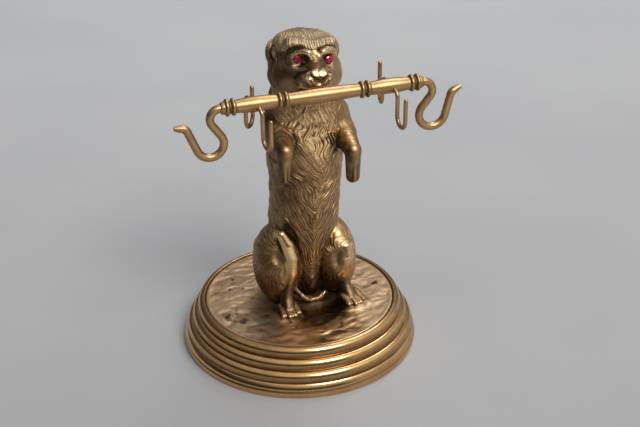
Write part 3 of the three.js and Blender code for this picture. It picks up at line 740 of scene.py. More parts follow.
def wire_tree() -> Tree:
    """A round bar along a path, with its radius carried by the path's points.

    Returns:
        The tree, with inputs Path, Sides and Finish.
    """
    tree = bpy.data.node_groups.new("Round bar on a path", "GeometryNodeTree")
    add = tree.interface.new_socket
    add("Path", in_out="INPUT", socket_type="NodeSocketGeometry")
    add("Sides", in_out="INPUT", socket_type="NodeSocketInt").default_value = 16
    add("Finish", in_out="INPUT", socket_type="NodeSocketMaterial")
    add("Geometry", in_out="OUTPUT", socket_type="NodeSocketGeometry")
    board = Board(tree)
    given = board.node("NodeGroupInput").outputs
    curve = board.node("GeometryNodeMeshToCurve", {0: given["Path"]})
    upright = board.node("GeometryNodeSetCurveNormal", {"Curve": curve.outputs[0]}, mode="MINIMUM_TWIST")
    section = board.node("GeometryNodeCurvePrimitiveCircle", {"Resolution": given["Sides"], "Radius": 1.0})
    radius = board.node("GeometryNodeInputNamedAttribute", {"Name": "radius_m"}, data_type="FLOAT")
    swept = board.node(
        "GeometryNodeCurveToMesh",
        {
            "Curve": upright.outputs[0],
            "Profile Curve": section.outputs["Curve"],
            "Scale": radius.outputs["Attribute"],
            "Fill Caps": True,
        },
    )
    finish_tree(board, swept.outputs[0], given["Finish"])
    return tree


def turned_tree() -> Tree:
    """A shape turned round an axis from its profile.

    Returns:
        The tree, with inputs Profile, Sides, Turning radius and Finish.
    """
    tree = bpy.data.node_groups.new("Turned shape", "GeometryNodeTree")
    add = tree.interface.new_socket
    add("Profile", in_out="INPUT", socket_type="NodeSocketGeometry")
    add("Sides", in_out="INPUT", socket_type="NodeSocketInt").default_value = 64
    add("Turning radius", in_out="INPUT", socket_type="NodeSocketFloat").default_value = 1.0
    add("Finish", in_out="INPUT", socket_type="NodeSocketMaterial")
    add("Geometry", in_out="OUTPUT", socket_type="NodeSocketGeometry")
    board = Board(tree)
    given = board.node("NodeGroupInput").outputs
    outline = board.node("GeometryNodeMeshToCurve", {0: given["Profile"]})
    circle = board.node(
        "GeometryNodeCurvePrimitiveCircle", {"Resolution": given["Sides"], "Radius": given["Turning radius"]}
    )
    level = board.node("GeometryNodeSetCurveNormal", {"Curve": circle.outputs["Curve"]}, mode="Z_UP")
    swept = board.node(
        "GeometryNodeCurveToMesh",
        {"Curve": level.outputs[0], "Profile Curve": outline.outputs[0], "Fill Caps": False},
    )
    merged = board.node("GeometryNodeMergeByDistance", {"Geometry": swept.outputs[0], "Distance": 2e-6})
    finish_tree(board, merged.outputs[0], given["Finish"])
    return tree


def finish_tree(board: Board, shape: Socket, finish: Socket) -> None:
    """End a tree: real geometry, smooth faces and the finish.

    Args:
        board: The tree's board.
        shape: The geometry so far.
        finish: The material to set.
    """
    smooth = board.node("GeometryNodeSetShadeSmooth", {"Geometry": shape})
    real = board.node("GeometryNodeRealizeInstances", {"Geometry": smooth.outputs[0]})
    dressed = board.node("GeometryNodeSetMaterial", {"Geometry": real.outputs[0], "Material": finish})
    board.node("NodeGroupOutput", {"Geometry": dressed.outputs[0]})


def grown(name: str, mesh: Mesh, tree: Tree, **inputs: object) -> Mesh:
    """Run a tree on a mesh and keep the result as a plain mesh.

    Args:
        name: Name of the new mesh.
        mesh: What the tree starts from.
        tree: The Geometry Nodes tree.
        **inputs: Its inputs by name, with spaces as underscores.

    Returns:
        The plain mesh.
    """
    seedling = show(name + "_path", mesh)
    modifier = seedling.modifiers.new("shape", "NODES")
    modifier.node_group = tree
    for item in tree.interface.items_tree:
        key = item.name.lower().replace(" ", "_")
        if item.in_out == "INPUT" and key in inputs:
            modifier[item.identifier] = inputs[key]
    graph = bpy.context.evaluated_depsgraph_get()
    made = bpy.data.meshes.new_from_object(seedling.evaluated_get(graph))
    made.name = name
    seedling.modifiers.remove(modifier)
    bpy.data.objects.remove(seedling)
    return made


# Pieces


def show(name: str, data: bpy.types.ID) -> Thing:
    """Put a mesh, lamp or camera in the scene, and return its object."""
    thing = bpy.data.objects.new(name, data)
    bpy.context.scene.collection.objects.link(thing)
    return thing


def add_piece(name: str, mesh: Mesh, node: str) -> Thing:
    """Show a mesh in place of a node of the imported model.

    Args:
        name: Name of the piece.
        mesh: Its mesh, in metres in the frame.
        node: The node it stands for.

    Returns:
        The new object.
    """
    piece = show(name, mesh)
    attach(piece, "root")
    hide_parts(node)
    triangles = sum(len(face.vertices) - 2 for face in mesh.polygons)
    log.info("%s: %d triangles for %s", name, triangles, node)
    return piece


def thread(name: str, points: Sequence[Vec]) -> Mesh:
    """A mesh of edges from point to point, which are in millimetres."""
    mesh = bpy.data.meshes.new(name)
    edges = [(i, i + 1) for i in range(len(points) - 1)]
    mesh.from_pydata([tuple(c * MM for c in point) for point in points], edges, [])
    return mesh


def set_number(mesh: Mesh, name: str, values: Array) -> None:
    """Give each vertex a number."""
    mesh.attributes.new(name, "FLOAT", "POINT").data.foreach_set("value", values.astype(np.float32))


def set_vector(mesh: Mesh, name: str, values: Array) -> None:
    """Give each vertex three numbers."""
    flat = values.astype(np.float32).ravel()
    mesh.attributes.new(name, "FLOAT_VECTOR", "POINT").data.foreach_set("vector", flat)


def places(mesh: Mesh) -> Array:
    """A mesh's points in millimetres, one a row."""
    flat = np.empty(3 * len(mesh.vertices), np.float32)
    mesh.vertices.foreach_get("co", flat)
    return flat.reshape(-1, 3) / MM


def face_outwards(mesh: Mesh) -> None:
    """Turn a closed mesh's faces outwards if its volume says that they face in."""
    p = places(mesh).astype(float)
    mesh.calc_loop_triangles()
    corner = np.empty(3 * len(mesh.loop_triangles), np.int32)
    mesh.loop_triangles.foreach_get("vertices", corner)
    a, b, c = (p[corner.reshape(-1, 3)[:, i]] for i in range(3))
    if (a * np.cross(b, c)).sum() < 0:
        mesh.flip_normals()


def distances(path: Sequence[Sequence[float]]) -> Array:
    """How far along the path each of its points is."""
    steps = np.linalg.norm(np.diff(np.array(path), axis=0), axis=1)
    return np.concatenate([[0.0], np.cumsum(steps)])


@dataclass(frozen=True)
class Workshop:
    """What the metal pieces are made with."""

    finishes: Finishes
    turning: Tree = field(default_factory=turned_tree)
    bending: Tree = field(default_factory=wire_tree)
    turning_radius: float = 10.0  # radius of the circle that a profile is carried round

    def lathe(self, name: str, profile: Profile, sides: int, finish: Material) -> Mesh:
        """Turn a profile round Z.

        Args:
            name: Name of the mesh.
            profile: The outline, in millimetres.
            sides: How many sides the turned shape has.
            finish: Its material.

        Returns:
            The turned mesh, in metres.
        """
        radius = self.turning_radius
        line = thread(name + "_profile", [(r - radius, -z, 0.0) for r, z, _ in profile])
        set_number(line, "recess", np.array([deep for _, _, deep in profile]))
        mesh = grown(name, line, self.turning, sides=sides, turning_radius=radius * MM, finish=finish)
        face_outwards(mesh)
        return mesh

    def wire(self, name: str, path: list[Vec], radii: list[float], sides: int) -> Mesh:
        """Bend a round brass bar along a path.

        Args:
            name: Name of the mesh.
            path: Its middle line in millimetres.
            radii: Its radius at each point of the line.
            sides: How many sides it has.

        Returns:
            The mesh, in metres.
        """
        line = thread(name + "_line", path)
        nothing = np.zeros(len(path))
        set_number(line, "radius_m", np.array(radii) * MM)
        set_vector(line, "along", np.stack([distances(path) * 0.25, nothing, nothing], 1) * MM)
        set_number(line, "recess", nothing)
        mesh = grown(name, line, self.bending, sides=sides, finish=self.finishes.satin)
        face_outwards(mesh)
        return mesh


@dataclass
class Foot:
    """The hollow turned foot: three round steps over a flange and a thin rim."""

    radius: float = 41.0
    height: float = 15.6
    wall: float = 3.2
    edge_round: float = 0.5
    rim_height: float = 2.3
    flange_height: float = 2.3
    flange_step: float = 1.2
    flange_power: float = 1.6  # how late the flange curves in
    groove: float = 0.3  # height of the groove over the rim
    steps: int = 3
    tuck: float = 0.25  # how far a step's section turns in below its widest point, in quarter turns
    widest: float = 0.3  # where that point is, as a share of the step's rise
    seat_radius: float = 33.2
    lip: float = 0.5
    seat_floor: float = 12.4
    undercut: float = 0.35
    fine: int = 14  # lengths in a step's section
    sides: int = 256

    def rim(self) -> Profile:
        """The outline from the middle below, round the rim, to the top of the flange."""
        r, cut, top = self.radius, self.undercut, self.rim_height
        ceiling = self.seat_floor - self.wall
        flange, ring_top = self.flange
        line = [
            (0.0, ceiling, 0.4),
            (self.seat_radius - self.wall, ceiling, 0.5),
            (flange - self.wall - 1, ring_top, 0.5),
            (r - self.wall, 0.0, 0.2),
            (r - self.edge_round, 0.0, 0.1),
        ]
        for i in range(7):
            angle = math.pi / 2 * i / 6
            out, up = math.sin(angle) - 1, 1 - math.cos(angle)
            line.append((r + self.edge_round * out, self.edge_round * up, 0.0))
        line += [
            (r, top - 0.6, 0.0),
            (r - 0.08, top - 0.25, 0.1),
            (r - cut, top - 0.02, 0.8),
            (r - cut - 0.02, top + 0.1, 0.8),
            (r - cut / 2, top + self.groove, 0.1),
        ]
        for t in np.linspace(0, 1, 10)[1:]:
            out = r - cut / 2 - (self.flange_step - cut / 2) * t**self.flange_power
            line.append((out, top + self.groove + (self.flange_height - self.groove) * t, 0.0))
        line.append((flange - cut, ring_top - 0.12, 0.9))
        return line

    @property
    def flange(self) -> tuple[float, float]:
        """The lowest step's radius, and the height where it starts."""
        return self.radius - self.flange_step, self.rim_height + self.flange_height + self.groove

    def profile(self) -> Profile:
        """The closed outline from the middle below, round the outside, to the middle above."""
        flange, ring_top = self.flange
        rise = (self.height - ring_top) / self.steps
        run = (flange - self.seat_radius - self.lip) / self.steps
        line = self.rim()
        for step in range(self.steps):
            last = step == self.steps - 1
            inner = flange - (step + 1) * run
            low = ring_top + step * rise
            for t in np.linspace(0, 1, self.fine + 1):
                angle = ((1 + self.tuck) * t - self.tuck) * math.pi / 2
                up = rise * (self.widest + (1 - self.widest) * math.sin(angle))
                # painted shade on the lower half of each round step, which is browner; the top of the last
                # step is browner towards the seat
                deep = max(0.0, 0.95 - 1.75 * t) + (1.2 * max(0.0, t - 0.55) if last else 0)
                line.append((inner + run * math.cos(angle), low + up, deep))
            if not last:
                line.append((inner - 0.1, low + rise + 0.01, 0.2))
                line.append((inner - self.undercut, low + rise + 0.05, 1.0))
        return line + [
            (self.seat_radius + 0.15, self.height, 0.6),
            (self.seat_radius, self.height - 0.15, 0.5),
            (self.seat_radius, self.seat_floor, 1.0),
            (0.0, self.seat_floor, 1.0),
        ]

    def build(self, shop: Workshop) -> Thing:
        """Turn the foot and return it."""
        mesh = shop.lathe("foot", self.profile(), self.sides, shop.finishes.polished)
        mesh.transform(Matrix.Translation((FOOT_X * MM, 0, 0)))
        p = places(mesh)
        turn = np.arctan2(p[:, 1], p[:, 0] - FOOT_X)
        reach = np.hypot(p[:, 0] - FOOT_X, p[:, 1])
        set_vector(mesh, "along", np.stack([reach, p[:, 2], 0.6 * np.sin(turn)], 1) * MM)
        return add_piece("foot", mesh, "base")


@dataclass
class Crossbar:
    """The turned bar, with two pairs of double rings between and beside three swelling barrels."""

    middle_radius: float = 2.35
    neck_radius: float = 2.0
    outer_radius: float = 2.45
    collar_radius: float = 2.75
    collar_width: float = 1.1
    collar_gap: float = 0.9
    inner_collar: float = 13.4
    outer_collar: float = 30.1
    end_length: float = 1.4
    arm_radius: float = 1.3
    ring_power: float = 0.7  # how full the rings' section is, less than 1 for fuller than round
    stain: float = 0.5  # how far the brown reaches from the rings
    sides: int = 72

    @property
    def end(self) -> float:
        """Where the bar ends, from its middle."""
        return self.outer_collar + self.collar_width + self.collar_gap / 2 + self.end_length

    def half(self) -> Profile:
        """The outline from the middle of the bar to its end.

        Returns:
            Radius, distance from the middle and how brown each point is.
        """
        reach = self.collar_width + self.collar_gap / 2
        line: Profile = []

        def barrel(start: float, stop: float, middle: float, first: float) -> None:
            """Add a swelling length, from a share of its own length on."""
            for t in np.linspace(first, 1, 25):
                to_end = min(t + (1 if first else 0), 1 - t) * (stop - start)
                radius = self.neck_radius + (middle - self.neck_radius) * math.sin(math.pi * t)
                line.append((radius, start + (stop - start) * t, 0.9 * max(0.0, 1 - to_end / self.stain)))

        def collar(middle: float) -> None:
            """Add a pair of rounded rings."""
            for side in (-1, 1):
                low = middle + side * (self.collar_width + self.collar_gap) / 2 - self.collar_width / 2
                for angle in np.linspace(0, math.pi, 13):
                    swell = abs(math.sin(angle)) ** self.ring_power
                    radius = self.neck_radius + (self.collar_radius - self.neck_radius) * swell
                    place = low + self.collar_width * (1 - math.cos(angle)) / 2
                    line.append((radius, place, 0.9 * (1 - swell)))
                if side < 0:
                    line.append((self.neck_radius, middle, 0.9))

        barrel(-self.inner_collar + reach, self.inner_collar - reach, self.middle_radius, 0.5)
        collar(self.inner_collar)
        barrel(self.inner_collar + reach, self.outer_collar - reach, self.outer_radius, 0.0)
        collar(self.outer_collar)
        start = self.outer_collar + reach
        mouth = self.arm_radius + 0.3
        for angle in np.linspace(0, math.pi / 2, 9):
            radius = mouth + (self.neck_radius - mouth) * math.cos(angle)
            line.append((radius, start + self.end_length * math.sin(angle), 0.2))
        line.append((self.arm_radius - 0.15, self.end + 0.01, 0.8))
        line.append((0.0, self.end + 0.01, 0.8))
        return line

    def build(self, shop: Workshop) -> Thing:
        """Turn the bar and return it."""
        half = self.half()
        profile = [(r, -z, deep) for r, z, deep in reversed(half)] + half[1:]
        mesh = shop.lathe("turned_bar", profile, self.sides, shop.finishes.satin)
        mesh.transform(Matrix.Translation(Vector(BAR) * MM) @ Matrix.Rotation(math.pi / 2, 4, "Y"))
        p = places(mesh) - np.array(BAR, np.float32)
        turn = np.arctan2(p[:, 2], p[:, 1])
        set_vector(mesh, "along", np.stack([p[:, 0], 0.3 * np.sin(turn), 0.3 * np.cos(turn)], 1) * MM)
        return add_piece("turned_bar", mesh, "crossbar")


def walk(start: tuple[float, float], heading: float, legs: Sequence[Vec], fine: float = 5.0) -> Flat:
    """A flat path of straights and arcs.

    Args:
        start: Where it starts.
        heading: Its first direction in degrees.
        legs: Length, or turn in degrees and radius, of each leg.
        fine: Degrees between points on an arc.

    Returns:
        The path's points.
    """
    x, y = start
    path = [(x, y)]
    angle = math.radians(heading)
    for length, turn, radius in legs:
        if turn == 0:
            pieces = max(1, round(length / STRAIGHT))
            for _ in range(pieces):
                x += length / pieces * math.cos(angle)
                y += length / pieces * math.sin(angle)
                path.append((x, y))
            continue
        pieces = math.ceil(abs(turn) / fine)
        step = math.radians(turn / pieces)
        chord = 2 * radius * math.sin(abs(step) / 2)
        for _ in range(pieces):
            x += chord * math.cos(angle + step / 2)
            y += chord * math.sin(angle + step / 2)
            angle += step
            path.append((x, y))
    return path


@dataclass(frozen=True)
class ArmBends:
    """One arm's bends: turns in degrees, radii and straight lengths, from the bar to the tip."""

    over_turn: float
    over_radius: float
    inward: float
    bend_turn: float
    bend_radius: float
    outward: float
    flare_turn: float
    flare_radius: float


@dataclass
class Arm:
    """An S-shaped arm: over, down and back in, then a wide upturned bend and a flared tip."""

    side: Side
    bends: ArmBends
    radius: float = 1.3
    tenon: float = 4.0
    tip_radius: float = 0.85
    tip_length: float = 2.2
    taper_power: float = 1.3
    tip_round: float = 0.86  # the last ring's share of the tip's radius
    sides: int = 28

    def path(self, bar_end: float) -> tuple[list[Vec], list[float]]:
        """The arm's middle line and its radius along it.

        Args:
            bar_end: Where the bar ends, from its middle.

        Returns:
            The points and the radii.
        """
        bends = self.bends
        legs = [
            (self.tenon - 0.2, 0, 0),
            (0, -bends.over_turn, bends.over_radius),
            (bends.inward, 0, 0),
            (0, bends.bend_turn, bends.bend_radius),
            (bends.outward, 0, 0),
            (0, -bends.flare_turn, bends.flare_radius),
            (0.3 + self.tip_length, 0, 0),
        ]
        flat = walk((bar_end - self.tenon + 0.3, 0.0), 0, legs)
        run = distances(flat)
        taper = [max(0.0, 1 - (run[-1] - at) / (self.tip_length + 1.2)) ** self.taper_power for at in run]
        radii = [self.radius + (self.tip_radius - self.radius) * t for t in taper]
        radii[-1] *= self.tip_round
        x, _, z = BAR
        return [(x + self.side.value * a, BAR[1], z + b) for a, b in flat], radii

    def build(self, bar_end: float, shop: Workshop) -> Thing:
        """Bend the arm at the end of the bar, and return it."""
        name = f"s_arm_{self.side.label}"
        mesh = shop.wire(name, *self.path(bar_end), self.sides)
        return add_piece(name, mesh, f"arm_{self.side.label}")


@dataclass(frozen=True)
class Hook:
    """One hook of a cross wire: how far its shank drops, its tip rises and it is turned."""

    drop: float
    rise: float
    yaw: float


@dataclass
class CrossWire:
    """A wire through the bar on a slant, with a hook in front and one behind.

    Its tips are rounded in steps, each so far in and so thick, in shares of the wire's radius.
    """

    side: Side
    at: float
    yaw: float
    front: Hook
    back: Hook
    radius: float = 0.68
    slope: float = 15.0
    bend_radius: float = 3.0
    neck_radius: float = 2.0
    first_reach: float = 3.05
    tip: Steps = ((0.0, 0.12), (0.05, 0.45), (0.2, 0.75), (0.45, 0.93))
    fine: float = 9.0  # degrees between points
    sides: int = 18

    def hook_path(self, hook: Hook, facing: int) -> list[Vec]:
        """One hook's middle line, from the bar's middle to its tip.

        Args:
            hook: The hook.
            facing: 1 in front, -1 behind.

        Returns:
            The points.
        """
        slope = -facing * self.slope
        down = [(self.first_reach, 0, 0), (0, -90 - slope, self.neck_radius), (hook.drop, 0, 0)]
        neck = walk((0.0, 0.0), slope, down, self.fine)
        reach, low = neck[-1]
        bend = walk((0.0, low), -90, [(0, 180, self.bend_radius), (hook.rise, 0, 0)], self.fine)[1:]
        yaw, spread = math.radians(self.yaw), math.radians(hook.yaw)
        x, y, z = BAR

        def place(out: float, up: float, angle: float, start: tuple[float, float]) -> Vec:
            """A point of the flat path in the frame."""
            forward = facing * (start[1] + out * math.cos(angle))
            return (x + self.at + facing * start[0] + out * math.sin(angle), y - forward, z + up)

        shank = [place(0.0, up, 0.0, (out * math.sin(yaw), out * math.cos(yaw))) for out, up in neck]
        foot = (reach * math.sin(yaw), reach * math.cos(yaw))
        return shank + [place(out, up, spread, foot) for out, up in bend]

    def build(self, shop: Workshop) -> Thing:
        """Bend the wire and return it."""
        name = f"cross_wire_{self.side.label}"
        path = self.hook_path(self.front, 1)[::-1] + self.hook_path(self.back, -1)[1:]
        ends = []
        for end, inner in ((path[0], path[1]), (path[-1], path[-2])):
            way = (Vector(inner) - Vector(end)).normalized()
            ends.append([tuple(Vector(end) + way * inset * self.radius) for inset, _ in self.tip])
        line = ends[0] + path[1:-1] + ends[1][::-1]
        tips = [thick * self.radius for _, thick in self.tip]
        radii = tips + [self.radius] * (len(path) - 2) + tips[::-1]
        mesh = shop.wire(name, line, radii, self.sides)
        return add_piece(name, mesh, f"hook_{self.side.label}")


@dataclass(frozen=True)
class Foreleg:
    """A foreleg held up in front, with its paw hanging."""

    root: Vec
    shoulder: Vec
    elbow: Vec
    wrist: Vec
    tip: Vec
    paw_radius: float
    finger_gap: float = 0.85

    def form(self, p: Array) -> Array:
        """Distance to the foreleg."""
        upper = limb(p, self.shoulder, self.elbow, 4.9, 4.2)
        d = join(limb(p, self.root, self.shoulder, 4.4, 5.0), upper, 1)
        d = join(d, limb(p, self.elbow, self.wrist, 4.2, 2.9), 2)
        knuckle = (self.wrist[0], self.wrist[1] - 0.4, self.wrist[2] - 0.6)
        d = join(d, limb(p, knuckle, self.tip, self.paw_radius, self.paw_radius - 0.3), 0.8)
        return carve(d, self.finger_lines(p), 0.4)

    def finger_lines(self, p: Array) -> Array:
        """Distance to the lines between the fingers."""
        x, y, z = self.tip
        front = y - self.paw_radius
        lines = [
            limb(p, (x + aside, front, z + 4.4), (x + 1.2 * aside, front + 0.2, z - 2.6), 0.3, 0.5)
            for aside in (-self.finger_gap, self.finger_gap)
        ]
        return np.minimum(*lines)


@dataclass(frozen=True)
class Hindleg:
    """A folded hind leg: a broad furred thigh, a smooth shank and a foot with toes."""

    thigh: Vec
    shank: Stops  # from the knee down
    hollow: Vec  # beside the knee
    foot: Vec
    toes_look: float
    toe_count: int = 4
    toe_spread: float = 5.2
    toe_length: float = 5.4

    def thigh_form(self, p: Array) -> Array:
        """Distance to the thigh alone."""
        d = ellipsoid(p, self.thigh, (8, 12, 14.4))
        return carve(d, ellipsoid(p, self.hollow, (1.7, 2.2, 3.4)), 1.6)

    def shank_form(self, p: Array) -> Array:
        """Distance to the shank, the foot and the toes."""
        d = ridge(p, self.shank)
        instep = (self.foot[0], self.foot[1] - 1.6, self.foot[2] - 0.4)
        d = join(d, limb(p, self.shank[-1][:3], instep, 2.2, 2.5), 1.2)
        for t in np.linspace(-0.5, 0.5, self.toe_count):
            aside = t * self.toe_spread
            root = (self.foot[0] + aside, self.foot[1] - 0.6 + aside * self.toes_look, 2.3)
            reach = self.toe_length * (1 - 0.9 * t * t)
            tip = (root[0] + reach * self.toes_look + t * 0.8, root[1] - reach, 1.0)
            d = join(d, limb(p, root, tip, 1.5, 1.0), 0.7)
        return d

    def form(self, p: Array) -> Array:
        """Distance to the whole leg."""
        return join(self.thigh_form(p), self.shank_form(p), 1)


@dataclass
class Head:
    """The head in its own frame: the middle of the skull at 0, level and facing -Y."""

    place: Vec = (-0.1, -0.5, 88.3)
    turn: Vec = (-5.2, 5.8, 0.3)
    eye_left: Vec = (-5.55, -10.55, 3.75)
    eye_right: Vec = (5.35, -10.5, 3.5)
    look: Vec = (0.2, -0.95, 0.2)
    corner: Vec = (-2.5, -12.1, 4.3)  # the hollow between the left eye and the nose
    ear_turn: Vec = (0, 10, -30)
    ear_cup: tuple[Vec, Vec] = ((9.9, -1.9, 3.4), (2.3, 1.9, 3.2))  # middle and radii, on the right
    ear_inner: tuple[Vec, Vec] = ((10.0, -1.7, 3.8), (1.1, 1.4, 2.6))
    nose_faces: tuple[tuple[float, Vec], ...] = ((-0.7, (-0.24, -0.83, 0.49)), (1.7, (0.07, -0.83, 0.53)))
    brow_cuts: tuple[Stops, ...] = (
        ((-9.2, -8.0, 4.8, 0.4), (-7.6, -9.3, 6.4, 0.8), (-5.2, -10.7, 7.5, 1.0), (-3.4, -11.7, 7.9, 0.8)),
        ((1.2, -12.1, 6.9, 0.6), (2.2, -12.0, 8.0, 0.7), (3.6, -11.6, 8.5, 0.4), (5.2, -11.0, 8.5, 0.2)),
    )
    folds: tuple[Stops, ...] = (
        # upper lids
        (
            (-8.0, -8.0, 4.4, 0.4),
            (-5.7, -10.1, 5.8, 0.6),
            (-3.7, -12.1, 6.5, 0.95),
            (-2.6, -12.8, 6.3, 1.05),
            (-1.8, -13.1, 5.4, 0.9),
            (-0.9, -13.4, 4.3, 0.8),
        ),
        (
            (1.0, -12.7, 4.6, 0.5),
            (1.5, -12.5, 5.8, 0.55),
            (2.3, -12.6, 6.5, 0.9),
            (3.6, -12.2, 6.9, 1.1),
            (5.2, -11.5, 6.8, 1.15),
            (6.9, -10.3, 6.0, 1.0),
            (8.3, -8.3, 4.6, 0.5),
            (9.0, -7.4, 2.8, 0.4),
        ),
        # ring round the right eye
        (
            (7.9, -8.9, 3.6, 0.5),
            (7.3, -9.4, 1.9, 0.5),
            (5.6, -10.4, 1.2, 0.5),
            (3.8, -11.2, 1.9, 0.5),
            (3.2, -11.7, 3.2, 0.4),
        ),
        # knob in the inner corner of the left eye
        ((-3.7, -11.6, 3.5, 0.35), (-3.5, -11.8, 2.6, 0.3)),
        # wrinkles of the lips, each side of the nose
        ((-3.6, -15.7, 0.2, 0.55), (-4.7, -15.0, -1.8, 0.6), (-5.1, -14.4, -3.8, 0.4)),
        ((-3.1, -16.0, 0.0, 0.5), (-2.2, -16.5, -1.8, 0.55), (-1.0, -16.5, -3.2, 0.35)),
        ((3.4, -15.9, -0.8, 0.3), (2.8, -16.3, -2.0, 0.3), (2.0, -16.4, -2.8, 0.3)),
        ((4.7, -15.0, -0.4, 0.35), (5.5, -14.4, -2.8, 0.3)),
        # edge of the upper lip along the bar
        (
            (-5.6, -13.2, -4.6, 0.4),
            (-3.4, -15.3, -4.3, 0.55),
            (0.0, -16.2, -3.6, 0.55),
            (3.2, -15.6, -3.6, 0.55),
            (5.2, -13.8, -3.8, 0.4),
        ),
    )
    creases: tuple[Stops, ...] = (
        # above the lips, left and right
        (
            (-6.4, -11.9, -1.8, 0.2),
            (-4.9, -13.9, 0.0, 0.25),
            (-3.3, -15.2, 1.2, 0.3),
            (-1.8, -16.0, 1.8, 0.3),
        ),
        ((6.4, -11.9, -1.8, 0.1), (4.9, -13.9, -0.2, 0.15), (3.2, -15.2, 1.0, 0.25), (2.2, -16.0, 1.7, 0.2)),
        # on the left of the nose, then the V under it, and between its faces
        ((-3.2, -16.2, -0.6, 0.3), (-2.7, -16.4, -2.0, 0.3), (-2.0, -16.6, -3.2, 0.2)),
        ((-2.5, -16.2, -0.6, 0.4), (-1.1, -16.6, -1.7, 0.4), (0.4, -16.7, -2.6, 0.35)),
        ((3.3, -16.0, -0.6, 0.4), (1.9, -16.5, -1.6, 0.4), (0.4, -16.7, -2.6, 0.35)),
        ((0.5, -15.9, 1.2, 0.25), (0.45, -16.8, -0.5, 0.3)),
        # beside the nose
        ((3.9, -15.9, -0.8, 0.3), (3.3, -16.2, -2.6, 0.2)),
        ((-2.9, -16.0, 0.5, 0.5), (-2.7, -16.3, -0.5, 0.5)),
        ((3.6, -15.9, 0.3, 0.4), (3.4, -16.2, -0.5, 0.35)),
    )

    def local(self, p: Array) -> Array:
        """Points in the head's own frame."""
        return (p - np.asarray(self.place, np.float32)) @ turn_matrix(*self.turn)

    def form(self, p: Array) -> Array:
        """Distance to the head."""
        q = self.local(p)
        m = mirrored(q)
        d = ellipsoid(m, (0, 1, 1.2), (10.8, 10.6, 9.8))
        d = join(d, ellipsoid(m, (5.4, -1.8, 6.0), (5.4, 6.8, 4.2)), 3)
        d = join(d, ellipsoid(m, (6.9, -3.2, -2.9), (5.6, 6.4, 6.4)), 2.5)
        d = join(d, ellipsoid(m, (0, -3, -6.6), (7.6, 7.6, 5)), 3)
        d = join(d, ellipsoid(m, (0, -9.2, -8.6), (4.6, 5.6, 2.6)), 2)
        d = join(d, limb(m, (0, -9.2, 7.6), (6.8, -7.6, 8.2), 1.8, 1.8), 2.4)
        d = join(d, ellipsoid(m, (0, -7.4, -0.6), (8.4, 6.8, 5.8)), 3)
        d = join(d, limb(m, (0, -9.4, 4.6), (0, -12.4, 0.6), 3.3, 3.5), 2.6)
        d = join(d, ellipsoid(m, (2.2, -13.0, -2.0), (3.9, 3.7, 3.0)), 1.4)
        d = join(d, self.nose_form(q), 0.3)
        return self.ears(self.features(d, q), m)

    def nose_form(self, q: Array) -> Array:
        """Distance to the cut nose: two blocks with flat faces, side by side."""
        blocks = []
        for x, flat in self.nose_faces:
            way = np.asarray(flat, np.float32)
            way /= np.linalg.norm(way)
            spot = q - np.asarray((x, -15.9, -0.1), np.float32)
            under = np.asarray((way[0] * 1.2, -0.78, -0.62), np.float32)
            under /= np.linalg.norm(under)
            ball = np.linalg.norm(spot * (1.4, 1, 1.1), axis=1) - 2.1
            blocks.append(np.maximum.reduce([ball, spot @ way - 0.5, spot @ under - 1.0]))
        return np.minimum(*blocks)

    def features(self, d: Array, q: Array) -> Array:
        """Cut the eyes' hollows, lids, nose and lips.

        Args:
            d: The head so far.
            q: Points in the head's own frame.

        Returns:
            The distance with the features.
        """
        for (x, y, z), radius in ((self.eye_left, 1.3), (self.eye_right, 1.65)):
            d = carve(d, ellipsoid(q, (x, y - 0.9, z), (2.7, 1.9, 2.2)), 1.2)
            d = join(d, ellipsoid(q, (x, y + 1.9, z - 0.1), (2.9, 2.1, 2.7)), 0.9)
            d = carve(d, ellipsoid(q, (x, y - 0.4, z), (radius, 1.4, radius)), 0.3)
        d = carve(d, ellipsoid(q, self.corner, (1.2, 0.7, 1.2)), 0.6)
        for stops in self.brow_cuts:
            d = carve(d, ridge(q, stops), 0.5)
        for stops in self.folds:
            d = join(d, ridge(q, stops), 0.6)
        for stops in self.creases:
            d = carve(d, ridge(q, stops), 0.5)
        return d

    def face_rub_and_highlight(self, p: Array) -> Array:
        """How far each point is in the worn gilt at the front of the face and in the painted highlights on the
        lids, the nose, the lips and inside the left ear, from 0 to 1.
        """
        q = self.local(p)
        lids = np.minimum(ridge(q, self.folds[0][1:]), ridge(q, self.folds[1][:7]))
        lips = np.minimum.reduce([ridge(q, stops) for stops in self.folds[4:6] + self.folds[7:]])
        inner = ellipsoid(q, (-10.0, -2.2, 3.8), (1.1, 1.4, 2.6), turn_matrix(0, -10, 30))
        parts = [
            fade(-lids, -0.5, 0.0),
            0.8 * fade(-lips, -0.4, 0.1),
            fade(-self.nose_form(q), -0.4, 0.1) * fade(q[:, 2], -0.7, 0.3),
            0.8 * fade(-inner, -0.3, 0.1),
            0.12 * fade(-q[:, 1], 12.8, 14.2) * (1 - fade(q[:, 2], 1.2, 2.2)),
        ]
        return np.maximum.reduce(parts)

    def bridge(self, p: Array) -> Array:
        """How far each point is on the ridge between the eyes and the nose, painted brown as shade, from 0 to
        1.
        """
        return fade(-ellipsoid(self.local(p), (-0.2, -13.4, 3.0), (3.2, 3.4, 2.4)), -0.9, 0.2)

    def stain(self, p: Array) -> Array:
        """How dark the deep cuts of the face, the ear cups and the hollow under the nose are at each point,
        from 0 to 1: patina in the cuts, with painted shade under the brows, under the nose and in the ear
        cups.
        """
        q = self.local(p)
        dark = self.brow_cuts + self.creases[:1] + self.creases[3:5] + self.creases[-2:]
        cuts = np.minimum.reduce([ridge(q, stops) for stops in dark])
        cup = ellipsoid(mirrored(q), *self.ear_cup, turn_matrix(*self.ear_turn))
        under = ellipsoid(q, (0.4, -16.6, -1.0), (1.9, 1.2, 0.8))
        parts = [fade(-cuts, -0.5, 0.1), 0.6 * fade(-cup, -0.5, 0.1), 0.7 * fade(-under, -0.4, 0.1)]
        return np.maximum.reduce(parts)

